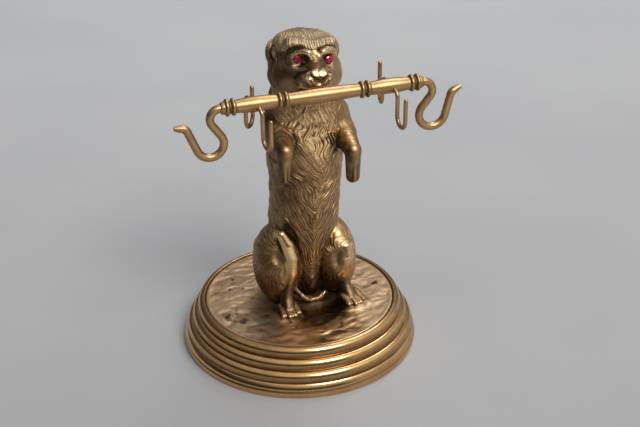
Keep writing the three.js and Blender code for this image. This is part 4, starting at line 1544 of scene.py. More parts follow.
    def ears(self, d: Array, m: Array) -> Array:
        """Add the cupped ears to the head, on mirrored points."""
        turn = turn_matrix(*self.ear_turn)
        d = join(d, ellipsoid(m, (9.7, 1.3, 3.5), (3.2, 2.3, 4.2), turn), 0.6)
        d = carve(d, ellipsoid(m, *self.ear_cup, turn), 0.5)
        return join(d, ellipsoid(m, *self.ear_inner, turn), 0.2)

    def eye(self, side: Side) -> tuple[Vector, Vector]:
        """An eye's place in the frame in millimetres, and the way it looks."""
        spot = self.eye_left if side is Side.LEFT else self.eye_right
        back = turn_matrix(*self.turn).T
        middle = np.array(spot) @ back + np.array(self.place)
        look = np.array((side.value * self.look[0], self.look[1], self.look[2])) @ back
        x, y, z = middle * SHARE
        return Vector((FIGURE_X + x, FIGURE_Y + y, GROUND + z)), Vector(look).normalized()


@dataclass
class Relief:
    """What the chased fur does at each vertex."""

    height: Array  # millimetres outwards
    strand: Array  # across and down the fur, in strokes and in tufts, and 0
    fine: Array  # the strokes' depth in millimetres

    def where(self, mask: Array, other: "Relief") -> "Relief":
        """This relief at the marked points, and the other at the rest."""
        return Relief(
            np.where(mask, self.height, other.height),
            np.where(mask[:, None], self.strand, other.strand),
            np.where(mask, self.fine, other.fine),
        )


@dataclass(frozen=True)
class Coat:
    """The fur of one part, in millimetres: tufts in the mesh, and finer strokes in the finish."""

    rise: float  # how high the tufts stand
    width: float
    length: float
    seed: int
    stroke: float  # width of a stroke
    reach: float  # length of a stroke
    depth: float  # depth of a stroke

    def tufts(self, u: Array, v: Array) -> Array:
        """Pointed tufts side by side, each column shifted at random.

        Args:
            u: Millimetres across the fur.
            v: Millimetres down the fur.

        Returns:
            The tufts' height in millimetres.
        """
        column = np.floor(u / self.width)
        down = v / self.length + 3 * chance(column, self.seed)
        down = down - np.floor(down)
        across = np.abs(u / self.width - column - 0.5) * 2
        roof = np.clip(1 - (across / (1 - 0.5 * down**2)) ** 2, 0, 1)
        return self.rise * roof * np.minimum(1, 0.3 + 1.1 * down) * np.minimum(1, (1 - down) * 6)

    def strokes(self, u: Array, v: Array) -> tuple[Array, Array]:
        """The strokes' place across and down, and their depth, at each point."""
        strand = np.stack([u / self.stroke, v / self.reach, 0 * u], 1)
        return strand, np.full(len(u), self.depth)


CHEST = Coat(rise=0.42, width=3.0, length=8.0, seed=1, stroke=1.4, reach=7.5, depth=0.26)
BELLY = Coat(rise=0.4, width=1.7 / 0.62, length=6.5, seed=5, stroke=0.95, reach=6.0, depth=0.32)
FLANK = Coat(rise=0.42, width=3.8, length=8.0, seed=6, stroke=1.05, reach=5.5, depth=0.28)
THIGH = Coat(rise=0.3, width=3.4, length=6.0, seed=8, stroke=0.9, reach=5.0, depth=0.2)
ARM = Coat(rise=0.14, width=1.8, length=5.0, seed=9, stroke=0.6, reach=3.2, depth=0.11)
RUFF = Coat(rise=0.24, width=1.9, length=4.6, seed=12, stroke=0.9, reach=3.6, depth=0.2)
CROWN = Coat(rise=0.16, width=2.2, length=4.0, seed=13, stroke=0.8, reach=3.2, depth=0.22)
CHEEK = Coat(rise=0.0, width=1.0, length=1.0, seed=0, stroke=0.6, reach=3.0, depth=0.07)  # strokes only


def combed(parts: Sequence[tuple[Array, Coat, Array, Array]]) -> tuple[Array, Array]:
    """The strokes of the first part that holds each point.

    Args:
        parts: Which points each part holds, its coat, and the millimetres across and down it.

    Returns:
        The strands, and the strokes' depth.
    """
    strands, depths = zip(*(coat.strokes(u, v) for _, coat, u, v in parts))
    where = [mask for mask, *_ in parts]
    return np.select([mask[:, None] for mask in where], strands), np.select(where, depths)


@dataclass
class Animal:
    """The seated animal and the ground disc it is cast with."""

    cell: float = 0.43
    girth: float = 11.5  # millimetres round the trunk for each radian
    disc_radius: float = 33.08
    disc_thickness: float = 2.6
    disc_rings: int = 66
    disc_sectors: int = 208
    head: Head = field(default_factory=Head)
    trunk: Rows = (  # height, half width, half depth, and the middle's place from front to back and aside
        (-3, 8, 10, 6, 0),
        (16, 11, 12, 5, 0.3),
        (28, 12.2, 12.5, 4, 0.6),
        (36, 12.2, 12, 2.8, 0.8),
        (45, 12.3, 11.7, 2.2, 0.9),
        (55, 12.8, 11.9, 1.6, 0.7),
        (65, 12.9, 11.8, 1.2, 0.3),
        (73, 11.8, 10.8, 1.2, 0),
        (80, 10.2, 9.5, 0.8, 0),
        (92, 9, 8.5, 1, 0),
    )
    keel: Rows = (  # height, half width, and the front's place
        (-3, 6.4, -5.8),
        (8, 6, -6.6),
        (20, 6.6, -8.2),
        (32, 8.3, -9.4),
        (42, 10.5, -9.9),
        (54, 12, -9.6),
    )
    forelegs: tuple[Foreleg, Foreleg] = (
        Foreleg(
            root=(-7, 1, 75),
            shoulder=(-8.8, 0, 68.4),
            elbow=(-10.2, -5, 64),
            wrist=(-11.4, -15.6, 64),
            tip=(-12.2, -16.5, 55),
            paw_radius=2.3,
        ),
        Foreleg(
            root=(7.6, -0.5, 76),
            shoulder=(10.6, -0.8, 69),
            elbow=(12.6, -4.5, 62.5),
            wrist=(12.6, -14.6, 60.6),
            tip=(12.4, -15.5, 51.4),
            paw_radius=2.7,
        ),
    )
    hindlegs: tuple[Hindleg, Hindleg] = (
        Hindleg(
            thigh=(-11, 0, 13.2),
            shank=(
                (-11.4, -9.0, 29.4, 1.6),
                (-9.6, -10.3, 25.4, 2.2),
                (-8.5, -10.9, 20.5, 2.4),
                (-8.5, -10.9, 15.0, 2.3),
                (-9.8, -10.7, 9.6, 1.9),
                (-10.6, -10.8, 6.0, 1.7),
            ),
            hollow=(-13.5, -11.0, 22.4),
            foot=(-10.9, -11.4, 2.6),
            toes_look=0.1,
        ),
        Hindleg(
            thigh=(10.2, 0, 13.2),
            shank=(
                (12.0, -8.8, 20.4, 2.2),
                (12.1, -9.4, 16.8, 2.8),
                (11.4, -9.5, 11.4, 2.2),
                (11.3, -9.6, 6.4, 1.9),
            ),
            hollow=(8.2, -12.4, 17.6),
            foot=(12.4, -10.8, 2.6),
            toes_look=0.36,
        ),
    )
    skirt: Stops = (  # the roll where the belly meets the ground
        (-6.6, -8.2, 6.6, 0.6),
        (-4.1, -9.3, 2.8, 0.8),
        (-1.2, -9.9, 1.4, 0.8),
        (2.2, -9.4, 1.6, 0.8),
        (4.7, -8.6, 2.9, 0.6),
    )

    def trunk_form(self, p: Array) -> Array:
        """Distance to the trunk."""
        z = p[:, 2]
        width, depth = along(z, self.trunk, 1), along(z, self.trunk, 2)
        middle, aside = along(z, self.trunk, 3), along(z, self.trunk, 4)
        r = np.hypot((p[:, 0] - aside) / width, (p[:, 1] - middle) / depth) + 1e-6
        return np.maximum((r - 1) * np.minimum(width, depth), np.maximum(z - 92, -3 - z))

    def keel_form(self, p: Array) -> Array:
        """Distance to the keel down the belly."""
        z = p[:, 2]
        width, front = along(z, self.keel, 1), along(z, self.keel, 2)
        across = np.sqrt((p[:, 0] - along(z, self.trunk, 4)) ** 2 + 0.1 + 0.6 * fade(z, 34, 46))
        slope = 6 / width
        face = (front + slope * across - p[:, 1]) / np.sqrt(1 + slope**2)
        body = carve(face, width - across, 2)
        return np.maximum(body, np.maximum(p[:, 1] - 4, np.maximum(z - 54, -3 - z)))

    def body_form(self, p: Array) -> Array:
        """Distance to the trunk, the keel and the tail."""
        d = join(self.trunk_form(p), self.keel_form(p), 2)
        d = join(d, ridge(p, self.skirt), 1.2)
        return join(d, ellipsoid(p, (0, 17.5, 6), (3.6, 3.4, 4.6)), 3)

    def form(self, p: Array) -> Array:
        """Distance to the whole animal, without its fur."""
        d = self.body_form(p)
        for foreleg in self.forelegs:
            d = join(d, foreleg.form(p), 1.6)
        for hindleg in self.hindlegs:
            d = join(d, hindleg.form(p), 1.4)
        return join(d, self.head.form(p), 3)

    def body_fur(self, p: Array) -> tuple[Relief, Array]:
        """The trunk's fur.

        Args:
            p: Points on the surface.

        Returns:
            The relief, and how far the chest's long locks reach.
        """
        z = p[:, 2]
        up = z * SHARE
        angle = np.arctan2((p[:, 0] - along(z, self.trunk, 4)) * SHARE, (2 - p[:, 1]) * SHARE)
        girth = angle * self.girth
        shift = 2.4 * fade(z, 41, 49) * (1 - fade(z, 60, 66)) + 0.7 * lumps(p[:, 2:], 5.0, SEED + 18)
        reach = np.abs(girth - shift)
        wander = lumps(p, 4.0, SEED)
        sway = lumps(p[:, :2], 2.6, SEED + 1)
        # belly: strokes that slope down towards the keel
        lean = 1.5
        size = math.hypot(1, lean)
        bend = 0.5 * np.sin(up / 3.1 + 2 * wander)
        bend += 1.0 * lumps(p, 7.5, SEED + 14) + 0.45 * lumps(p, 3.2, SEED + 15)
        belly_u = (lean * reach - up) / size + bend
        belly_v = -(reach + lean * up) / size
        # chest: long wavy locks that hang down
        chest_u = girth + 0.75 * np.sin(up / 1.25 + 1.4 * sway) + 0.6 * wander
        rolls = np.sin(up / 0.625 + 2.8 * sway + 1.3 * lumps(p, 2.4, SEED + 16))
        lock = chest_u / CHEST.stroke
        locks = 1 - (2 * np.abs(lock - np.floor(lock) - 0.5)) ** 2
        # flanks and back: locks that slope backwards
        flank_u = girth * 0.94 - 0.35 * np.sign(girth) * up + 0.8 * np.sin(up / 2.4 + 3 * angle)
        flank_v = -up - 0.35 * reach
        low_edge = 58.5 - 5.5 * fade(p[:, 0], -2, 3) + 9 * np.clip(np.abs(p[:, 0] - 1.5) / 8, 0, 1) ** 2
        chest = fade(z - low_edge, -1, 3) * (1 - fade(np.abs(angle), 0.75, 1.1))
        side = fade(np.abs(angle), 0.9, 1.25) * (1 - chest)
        belly = (1 - chest) * (1 - side)
        height = chest * (CHEST.tufts(chest_u, -up) + 0.06 * rolls + 0.16 * locks)
        height += belly * BELLY.tufts(belly_u, belly_v) + side * FLANK.tufts(flank_u, flank_v)
        in_chest = chest > 0.5
        everywhere = np.ones(len(p), bool)
        strand, depth = combed(
            (
                (in_chest, CHEST, chest_u, -up),
                (side > 0.5, FLANK, flank_u, flank_v),
                (everywhere, BELLY, belly_u, belly_v),
            )
        )
        depth *= 0.85 + 0.25 * lumps(p, 6.0, SEED + 9)
        depth *= np.where(in_chest, 1, 0.95 + 0.4 * np.clip(lumps(p, 5.0, SEED + 17), -1, 1))
        depth *= (2 * np.maximum(chest, np.maximum(side, belly)) - 1).clip(0.15) ** 0.5
        return Relief(height, strand, depth), chest

    def thigh_fur(self, p: Array, leg: Hindleg) -> Relief:
        """A thigh's fur, which spreads from the knee."""
        back = (p[:, 1] - leg.hollow[1]) * SHARE
        up = (p[:, 2] - leg.hollow[2]) * SHARE
        reach = np.hypot(back, up)
        u = np.arctan2(up, back) * 9.5 + 0.35 * lumps(p, 3.5, SEED + 2) + 0.3 * np.sin(reach / 1.6)
        near = fade(reach, 2.5, 5)
        strand, depth = THIGH.strokes(u, reach)
        return Relief(THIGH.tufts(u, reach) * near, strand, depth * near)

    def arm_fur(self, p: Array) -> Relief:
        """The upper arms' short slanting strokes."""
        u = (0.75 * p[:, 1] - 0.65 * p[:, 2]) * SHARE + 0.4 * lumps(p, 3.0, SEED + 3)
        v = -(0.65 * p[:, 1] + 0.75 * p[:, 2]) * SHARE + 0.2 * np.sign(p[:, 0])
        return Relief(ARM.tufts(u, v), *ARM.strokes(u, v))

    def head_fur(self, p: Array) -> tuple[Relief, Array]:
        """The head's fur.

        Args:
            p: Points on the surface.

        Returns:
            The relief, and how much of the crown's fringe each point is in.
        """
        x, y, z = self.head.local(p).T * SHARE
        angle, fan = np.arctan2(x, 1 - y), np.arctan2(x, 9 - y)
        crown = fade(z + 0.25 * y, 3.4, 4.6) * fade(z, 3.5, 5.5)
        crown_v = -z + 0.9 * np.clip(y + 9, -2, 40)
        crown_u = fan * 19 + 0.24 * np.sin(crown_v * 2.3 + 10 * fan)
        ruff = fade(y, -6.8, -4.0)
        ruff_u = angle * 10.5 + 0.35 * z + 0.3 * np.sin(z / 1.3)
        height = (1 - crown) * ruff * RUFF.tufts(ruff_u, -z) + crown * CROWN.tufts(crown_u, crown_v)
        everywhere = np.ones(len(p), bool)
        strand, depth = combed(
            (
                (crown > 0.5, CROWN, crown_u, crown_v),
                (ruff > 0.5, RUFF, ruff_u, -z),
                (everywhere, CHEEK, np.hypot(x, z + 2) * 1.1, angle * 8),
            )
        )
        bare_face = fade(-y, 9.5, 11.5) * (1 - crown)
        return Relief(height, strand, depth * (1 - bare_face)), crown

    def fur(self, p: Array) -> tuple[Relief, dict[str, Array]]:
        """All of the fur, with the parts' weights.

        Args:
            p: Points on the surface.

        Returns:
            The relief, and named weights for the finish.
        """
        head = self.head.form(p)
        body = self.body_form(p)
        arms = np.minimum(*(leg.form(p) for leg in self.forelegs))
        thighs = np.minimum(*(leg.thigh_form(p) for leg in self.hindlegs))
        shanks = np.minimum(*(leg.shank_form(p) for leg in self.hindlegs))
        in_head = fade(np.minimum(body, arms) - head, -0.8, 0.8) * fade(p[:, 2], 74, 78)
        in_arm = fade(np.minimum(body, head) - arms, -0.6, 0.8) * (1 - in_head)
        in_leg = fade(body - np.minimum(thighs, shanks), -0.5, 0.5) * fade(-p[:, 2], -36, -32)
        in_shank = in_leg * fade(thighs - shanks, -0.3, 0.6)
        in_thigh = in_leg - in_shank
        in_body = np.clip(1 - in_head - in_arm - in_leg, 0, 1)
        bare_paw = fade(-p[:, 1], 13.2, 14.8)
        body_relief, chest = self.body_fur(p)
        left, right = (self.thigh_fur(p, leg) for leg in self.hindlegs)
        head_relief, crown = self.head_fur(p)
        parts = [
            (in_body, body_relief),
            (in_thigh, left.where(p[:, 0] < 0, right)),
            (in_arm * (1 - bare_paw), self.arm_fur(p)),
            (in_head, head_relief),
        ]
        height = sum(weight * relief.height for weight, relief in parts)
        weights = np.stack([weight for weight, _ in parts], 1)
        best = weights.argmax(1)
        strand = np.choose(best[:, None], [relief.strand for _, relief in parts])
        fine = np.choose(best, [relief.fine for _, relief in parts]) * weights.max(1) ** 2
        ground = fade(p[:, 2], 0.3, 2.5)
        named = {
            "head": in_head,
            "arm": in_arm,
            "thigh": in_thigh,
            "shank": in_shank,
            "body": in_body,
            "chest": chest * in_body,
            "crown": crown * in_head,
            "smooth": np.clip(in_shank + in_arm * bare_paw, 0, 1),
        }
        return Relief(height * ground, strand, fine * ground), named

    def paint(
        self, p: Array, normal: Array, sunk: Array, named: dict[str, Array]
    ) -> tuple[Array, Array, Array]:
        """Where the brown, the worn gilt, the dust, and the painted shade and highlights are.

        Args:
            p: Points on the animal, without its fur.
            normal: The way out at each point.
            sunk: How far each point lies below those around it, with the fur, in millimetres.
            named: The parts' weights.

        Returns:
            How brown with patina and painted shade, how bright with worn gilt and painted highlights, and how
            dusty each point is, from 0 to 1.
        """
        x, y, z = p.T
        keys = ("arm", "body", "chest", "crown", "head", "shank", "smooth", "thigh")
        arm, body, chest, crown, head, shank, smooth, thigh = (named[key] for key in keys)
        # painted shade, partly patina, in the hollows: how closed in each point is, from the form read a short
        # way out
        shade = np.zeros(len(p), np.float32)
        for reach in (1.2, 2.8, 5.5):
            shade += (1 - np.clip(self.form(p + normal * reach) / reach, 0, 1)) / 3
        # painted shade on the side turned away from the light
        away = fade(-normal[:, 0] - 0.35 * normal[:, 1], 0.1, 1.0) * (0.5 + 0.2 * lumps(p, 5.0, SEED + 10))
        low, low_leg = 1 - fade(z, 3, 15), 1 - fade(z, 9, 15)
        # painted highlight on the knees: brighter and less brown
        knee = shank * fade(z, 13, 17)
        toe_tips = shank * fade(-y, 14.8, 16.8) * fade(-z, -2.4, -1.2)
        skirt = fade(-ridge(p, self.skirt), -1.2, -0.4)
        fingers = fade(-np.minimum(*(leg.finger_lines(p) for leg in self.forelegs)), -0.45, 0.1)
        # painted shade under the head, at the top of the chest
        throat = fade(z, 68, 77)
        # worn gilt and painted sheen on the chest, fading under the head
        chest_rub_and_sheen = chest * (1 - 0.55 * throat)
        # worn gilt and painted highlights on the face
        face = head * self.head.face_rub_and_highlight(p)
        patch = np.exp(-(((x + 7) / 4.5) ** 2) - ((z - 47) / 6.5) ** 2)
        # brown: patina in the cuts; painted shade, partly patina, in the hollows, and painted shade on the
        # side turned away; browner arms, thighs and shanks, darker between the fingers and towards the bottom,
        # less on the toe tips and the belly's roll; a patch on the left side and random patches; patina and
        # painted shade in the face's cuts, painted shade between the eyes; little brown under the painted
        # highlights and sheen
        recess = np.clip(2.6 * sunk, 0, 0.6) * (1 - 0.4 * smooth) + 0.95 * fade(shade, 0.24, 0.72)
        recess += away * (1 + 0.4 * head) * (1 - 0.8 * crown)
        recess += np.clip(shank, 0, 1) * (0.1 + 0.5 * low_leg) - 0.4 * toe_tips - 0.3 * skirt
        recess += (0.28 + 0.7 * fingers) * arm
        recess += 0.16 * np.clip(lumps(p, 7.0, SEED + 11), 0, 1)
        recess += 0.5 * patch * (0.7 + 0.6 * lumps(p, 2.4, SEED + 19))
        recess += (0.06 + 0.42 * low) * thigh + 0.3 * low * body
        recess += 0.85 * (self.head.stain(p) + self.head.bridge(p)) * head
        recess *= (1 - 0.6 * np.clip(knee, 0, 1)) * (1 - 0.92 * chest_rub_and_sheen) * (1 - 0.95 * face)
        recess += 0.28 * throat * chest
        # bright: worn gilt on the ridges and the toe tips, dimmed in painted shade; worn gilt and painted
        # sheen on the chest; painted highlights on the face and the knees
        rub_and_highlight = np.clip(-4.0 * sunk, 0, 1) * (1 - fade(shade, 0.2, 0.5))
        rub_and_highlight = np.maximum(rub_and_highlight, np.maximum(0.12 * smooth, 0.9 * face)) * (1 - 0.6 * crown)
        rub_and_highlight = np.maximum(rub_and_highlight * (1 - skirt), 0.8 * toe_tips) + 0.95 * chest_rub_and_sheen + 0.9 * knee
        # dust: on what faces up
        up = np.clip(normal[:, 2], 0, 1)
        dust = 0.8 * crown + 0.4 * up * fade(z, 60, 90) + 0.4 * head * (1 - face) + 0.5 * skirt
        return np.clip(recess, 0, 1), np.clip(rub_and_highlight, 0, 1), np.clip(dust, 0, 1)

    def skin(self) -> dict[str, Array]:
        """The animal's mesh with its fur and the values that its finish reads.

        Returns:
            Points in millimetres in the frame, faces, and vertex values by name.
        """
        net = SurfaceNet((-22.0, -24.0, -2.4), (22.0, 22.0, 103.0), self.cell)
        p, faces = net.mesh(self.form)
        for _ in range(2):
            slope = gradient(self.form, p)
            p = p - (self.form(p) / (slope**2).sum(1).clip(0.25))[:, None] * slope
        normal = gradient(self.form, p)
        normal /= np.linalg.norm(normal, axis=1, keepdims=True) + 1e-9
        relief, named = self.fur(p)
        rough = 0.05 * lumps(p, 1.1, SEED + 5) + 0.1 * lumps(p, 3.2, SEED + 6)
        height = relief.height + rough * (1 - named["smooth"])
        furred = p + normal * (height / SHARE)[:, None]
        sunk = ((averaged(furred, faces, 4) - furred) * normal).sum(1) * SHARE
        recess, rub_and_highlight, dust = self.paint(p, normal, sunk, named)
        return {
            "points": np.array((FIGURE_X, FIGURE_Y, GROUND)) + furred * SHARE,
            "faces": faces,
            "recess": recess,
            "strand": relief.strand,
            "wear": np.stack([rub_and_highlight, dust, relief.fine], 1),
        }

    def ground(self) -> dict[str, Array]:
        """The ground disc's mesh, with its low relief.

        Returns:
            Points in millimetres in the frame, faces, and vertex values by name.
        """
        rings, sectors = self.disc_rings, self.disc_sectors
        turn = np.linspace(0, 2 * math.pi, sectors, endpoint=False)
        reaches = np.linspace(0.4, self.disc_radius - 0.45, rings)
        radius, angle = (grid.ravel() for grid in np.meshgrid(reaches, turn, indexing="ij"))
        x, y = radius * np.cos(angle), radius * np.sin(angle)
        aside, back = (x + FOOT_X - FIGURE_X) / SHARE, (y - FIGURE_Y) / SHARE
        near = self.form(np.stack([aside, back, np.full(len(x), 0.3)], 1).astype(np.float32))
        flat = np.stack([x, y], 1)
        warp = flat + 1.6 * np.stack([lumps(flat, 5.0, 31), lumps(flat, 5.0, 32)], 1)
        waves = 1 - np.abs(lumps(warp * np.array([0.55, 1.0]), 2.2, 33)) * 2
        height = 0.13 * waves + 0.09 * lumps(flat, 6.0, 34) + 0.05 * lumps(warp, 1.2, 35) - 0.12
        skirt = np.exp(-((np.clip(near, 0, 9) / 1.1) ** 1.5))
        edge = 1 - fade(radius, self.disc_radius - 2.2, self.disc_radius - 0.5)
        height = height * edge * (1 - skirt) + 0.9 * skirt
        specks = fade(lumps(warp, 1.6, 36) * (0.6 + 0.6 * lumps(flat, 9.0, 37)), 0.42, 0.75)
        shadow = fade(-np.hypot(aside, (back + 8) * 0.8), -17, -11)
        # painted reflection: the figure's dark reflection in the ground in front of it, laid on as brown,
        # where the ground is also smoother
        front = fade(-np.abs(aside - 1), -14, -8) * fade(-back, 11, 15)
        recess = 0.16 + np.clip(-0.25 - waves, 0, 1) * edge * 0.8 + 0.35 * skirt + 0.85 * specks
        recess = np.clip(recess + 0.4 * shadow + 0.4 * front, 0, 1)
        low = GROUND - self.disc_thickness
        rim = (
            (self.disc_radius - 0.12, GROUND - 0.12),
            (self.disc_radius, GROUND - 0.5),
            (self.disc_radius, low + 0.3),
            (self.disc_radius - 0.3, low),
        )
        rows = [np.stack([x, y, GROUND + height], 1)]
        rows += [np.stack([r * np.cos(turn), r * np.sin(turn), np.full(sectors, z)], 1) for r, z in rim]
        points = np.concatenate([[[0.0, 0.0, GROUND]], *rows, [[0.0, 0.0, low]]])
        points[:, 0] += FOOT_X
        number = 1 + np.arange((rings + len(rim)) * sectors).reshape(-1, sectors)
        a, b = number[:-1], number[1:]
        quads = np.stack([a, b, np.roll(b, -1, 1), np.roll(a, -1, 1)], -1).reshape(-1, 4)
        first, last = number[0], number[-1]
        top = np.stack([np.zeros(sectors, int), first, np.roll(first, -1)], 1)
        under = np.stack([np.full(sectors, len(points) - 1), np.roll(last, -1), last], 1)
        # smoother and brighter in front of the figure, under its painted reflection
        polish = np.zeros(len(points))
        polish[1 : len(front) + 1] = front
        return {
            "points": points,
            "faces": quads,
            "caps": np.concatenate([top, under]),
            "recess": np.concatenate([[0.2], recess, np.full(len(rim) * sectors + 1, 0.9)]),
            "strand": np.zeros((len(points), 3)),
            "wear": np.stack([0.5 + 0.45 * polish, 0.5 - 0.45 * polish, 0 * polish], 1),
        }

    def build(self, finishes: Finishes) -> Thing:
        """Build the animal on its ground, and return the casting."""
        skin, ground = self.skin(), self.ground()
        shift = len(skin["points"])
        points = np.concatenate([skin["points"], ground["points"]]) * MM
        faces = skin["faces"].tolist()
        for part in ("faces", "caps"):
            faces += (ground[part] + shift).tolist()
        mesh = bpy.data.meshes.new("animal")
        mesh.from_pydata(points.tolist(), [], faces)
        mesh.shade_smooth()
        for name, setter in (("recess", set_number), ("strand", set_vector), ("wear", set_vector)):
            setter(mesh, name, np.concatenate([skin[name], ground[name]]))
        mesh.materials.append(finishes.patinated)
        return add_piece("animal", mesh, "figure")


@dataclass
class Stone:
    """A round rose-cut paste stone in an eye, with rings of corners in shares of its radius and height."""

    side: Side
    radius: float
    height: float = 1.3
    sides: int = 14
    rings: Steps = ((0.92, -0.08), (1.0, 0.0), (1.0, 0.08), (0.8, 0.3), (0.45, 0.47))

    def build(self, head: Head, finishes: Finishes) -> Thing:
        """Cut the stone for its eye of the head, and return it."""
        place, look = head.eye(self.side)
        points = [(0.0, 0.0, -0.55 * self.height)]
        for level, (reach, rise) in enumerate(self.rings):
            r, z = reach * self.radius, rise * self.height
            for i in range(self.sides):
                angle = 2 * math.pi * (i + 0.5 * (level % 2)) / self.sides
                points.append((r * math.cos(angle), r * math.sin(angle), z))
        points.append((0.0, 0.0, 0.5 * self.height))
        faces = []
        n = self.sides
        top = 1 + (len(self.rings) - 1) * n
        for i in range(n):
            j = (i + 1) % n
            faces.append((0, 1 + j, 1 + i))
            for level in range(len(self.rings) - 1):
                a = 1 + level * n
                b = a + n
                if level % 2 == 0:
                    faces += [(a + i, a + j, b + i), (a + j, b + j, b + i)]
                else:
                    faces += [(a + i, b + j, b + i), (a + i, a + j, b + j)]
            faces.append((top + i, top + j, len(points) - 1))
        mesh = bpy.data.meshes.new("stone")
        mesh.from_pydata([tuple(c * MM for c in p) for p in points], [], faces)
        turn = Vector((0, 0, 1)).rotation_difference(look).to_matrix().to_4x4()
        mesh.transform(Matrix.Translation(place * MM) @ turn)
        face_outwards(mesh)
        mesh.materials.append(finishes.paste)
        return add_piece(f"stone_{self.side.label}", mesh, f"eye_{self.side.label}")


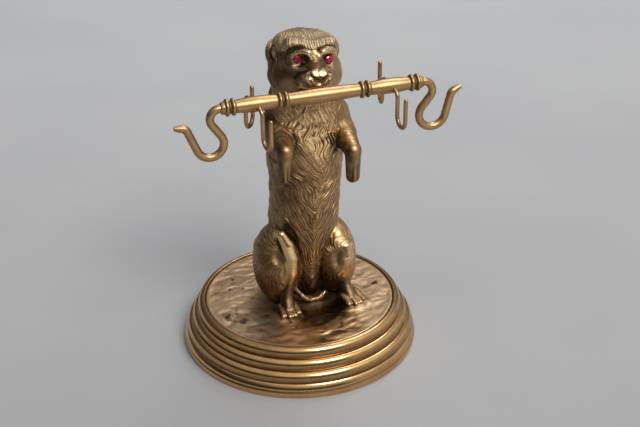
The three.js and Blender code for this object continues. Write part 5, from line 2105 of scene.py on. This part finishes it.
@dataclass
class Studio:
    """The camera, the pale floor and the soft light."""

    distance: float = 361.264  # from the foot's axis
    height: float = 240.119
    round_angle: float = 17.0  # how far round the stand the camera is, in degrees
    pan: float = 1.20495
    pitch: float = 28.10232
    roll: float = -0.48732
    lens: float = 67.5
    aim: Vec = (0, 0, 0.06)  # where the lamps look, in metres
    floor_size: float = 2.5  # half of the floor, in metres

    def camera(self) -> None:
        """Place the camera as the photograph was taken."""
        pan, pitch, roll = (math.radians(a) for a in (self.pan, self.pitch, self.roll))
        forward = Vector((math.sin(pan) * math.cos(pitch), math.cos(pan) * math.cos(pitch), -math.sin(pitch)))
        right = Vector((math.cos(pan), -math.sin(pan), 0))
        up = right.cross(forward)
        level = right * math.cos(roll) + up * math.sin(roll)
        tall = up * math.cos(roll) - right * math.sin(roll)
        round_axis = Matrix.Rotation(math.radians(-self.round_angle), 3, "Z")
        place = round_axis @ Vector((0, -self.distance, self.height)) + Vector((FOOT_X, 0, 0))
        axes = round_axis @ Matrix((level, tall, -forward)).transposed()
        matrix = Matrix.Translation(place * MM) @ axes.to_4x4()
        data = bpy.data.cameras.new("camera")
        data.sensor_width = 36
        data.lens = self.lens
        data.clip_start = 0.01
        camera = show("camera", data)
        camera.matrix_world = matrix
        bpy.context.scene.camera = camera

    def floor(self) -> None:
        """Lay a pale floor with painted light on it: darker towards the camera, lighter far off, and lighter
        again close to the camera.
        """
        size = self.floor_size
        corners = [(x * size, y * size, 0) for x, y in ((-1, -1), (1, -1), (1, 1), (-1, 1))]
        mesh = bpy.data.meshes.new("floor")
        mesh.from_pydata(corners, [], [(0, 1, 2, 3)])
        material, board, shader = new_material("Pale floor")
        cloud = board.noise(board.object_place(), 9.0, 3.0)
        tone = board.blend(board.ramp(cloud, 0.3, 0.7), (0.94, 0.94, 0.95), (1, 1, 1))
        away = board.node("ShaderNodeSeparateXYZ", {0: board.object_place()}).outputs[1]
        # painted light: the floor darker towards the camera and lighter far off
        shade = board.blend(board.ramp(away, -0.25, 0.45), (0.285, 0.283, 0.285), (0.49, 0.49, 0.49))
        # painted light: lighter again close to the camera
        shade = board.blend(board.ramp(away, -0.11, -0.19), shade, (0.66, 0.66, 0.66))
        colour = board.blend(1.0, shade, tone, "MULTIPLY")
        material.node_tree.links.new(colour, shader.inputs["Base Color"])
        shader.inputs["Roughness"].default_value = 0.7
        shader.inputs["Specular IOR Level"].default_value = 0.2
        mesh.materials.append(material)
        show("floor", mesh)

    def lamp(self, name: str, place: Vec, size: tuple[float, float], power: float, colour: Vec) -> None:
        """Hang a soft rectangular light that looks at the stand."""
        data = bpy.data.lights.new(name, "AREA")
        data.shape = "RECTANGLE"
        data.size, data.size_y = size
        data.energy = power
        data.color = colour
        lamp = show(name, data)
        lamp.location = place
        lamp.rotation_euler = (Vector(self.aim) - Vector(place)).to_track_quat("-Z", "Y").to_euler()

    def light(self) -> None:
        """Light the stand from above on the camera's side, in a room that is dim near the floor there."""
        self.lamp("window", (0.16, -0.5, 0.66), (0.36, 0.26), 4.4, (1.0, 0.985, 0.96))
        self.lamp("far window", (0.4, 0.45, 0.95), (0.5, 0.4), 3.8, (0.96, 0.98, 1.0))
        world = bpy.data.worlds.new("room")
        world.use_nodes = True
        board = Board(world.node_tree)
        sky = board.node("ShaderNodeTexCoord").outputs["Generated"]
        x, y, z = board.node("ShaderNodeSeparateXYZ", {0: sky}).outputs
        turn = math.radians(self.round_angle)
        towards = board.add(board.times(x, -math.sin(turn)), board.times(y, -math.cos(turn)))
        across = board.add(board.times(x, math.cos(turn)), board.times(y, -math.sin(turn)))
        near = board.ramp(z, 0.3, 0.7, 0.07, 0.95)
        far = board.add(board.ramp(z, -0.1, 0.5, 0.1, 0.26), board.ramp(z, 0.5, 0.9, 0.0, 0.5))
        facing = board.ramp(towards, -0.35, 0.3)
        both = board.add(board.times(near, facing), board.times(far, board.minus(1.0, facing)))
        side = board.times(board.ramp(across, 0.55, 0.85, 0.0, 0.4), board.ramp(z, -0.1, 0.1))
        strength = board.add(board.times(both, board.ramp(across, -0.8, 0.7, 0.42, 1.25)), side)
        background = world.node_tree.nodes["Background"]
        background.inputs["Color"].default_value = (0.97, 0.98, 1.0, 1)
        world.node_tree.links.new(strength, background.inputs["Strength"])
        bpy.context.scene.world = world
        bpy.context.scene.view_settings.view_transform = "Standard"


def main() -> None:
    """Build the stand piece by piece."""
    logging.basicConfig(level=logging.INFO, format="%(message)s")
    studio = Studio()
    studio.camera()
    studio.floor()
    studio.light()
    finishes = make_finishes()
    shop = Workshop(finishes)
    Foot().build(shop)
    animal = Animal()
    animal.build(finishes)
    for stone in (Stone(Side.LEFT, radius=1.2), Stone(Side.RIGHT, radius=1.5)):
        stone.build(animal.head, finishes)
    bar = Crossbar()
    bar.build(shop)
    arms = [
        Arm(
            Side.LEFT,
            ArmBends(
                over_turn=125,
                over_radius=3.3,
                inward=4.6,
                bend_turn=193,
                bend_radius=4.35,
                outward=7.4,
                flare_turn=59,
                flare_radius=2.0,
            ),
        ),
        Arm(
            Side.RIGHT,
            ArmBends(
                over_turn=130,
                over_radius=3.4,
                inward=3.8,
                bend_turn=206,
                bend_radius=4.6,
                outward=6.8,
                flare_turn=48,
                flare_radius=2.4,
            ),
        ),
    ]
    for arm in arms:
        arm.build(bar.end, shop)
    wires = [
        CrossWire(
            Side.LEFT,
            at=-22.3,
            yaw=16.0,
            front=Hook(drop=6.6, rise=7.6, yaw=9.0),
            back=Hook(drop=6.4, rise=9.4, yaw=36.0),
        ),
        CrossWire(
            Side.RIGHT,
            at=22.3,
            yaw=8.0,
            front=Hook(drop=5.6, rise=7.6, yaw=3.0),
            back=Hook(drop=4.4, rise=9.6, yaw=13.0),
        ),
    ]
    for wire in wires:
        wire.build(shop)


if __name__ == "__main__":
    main()
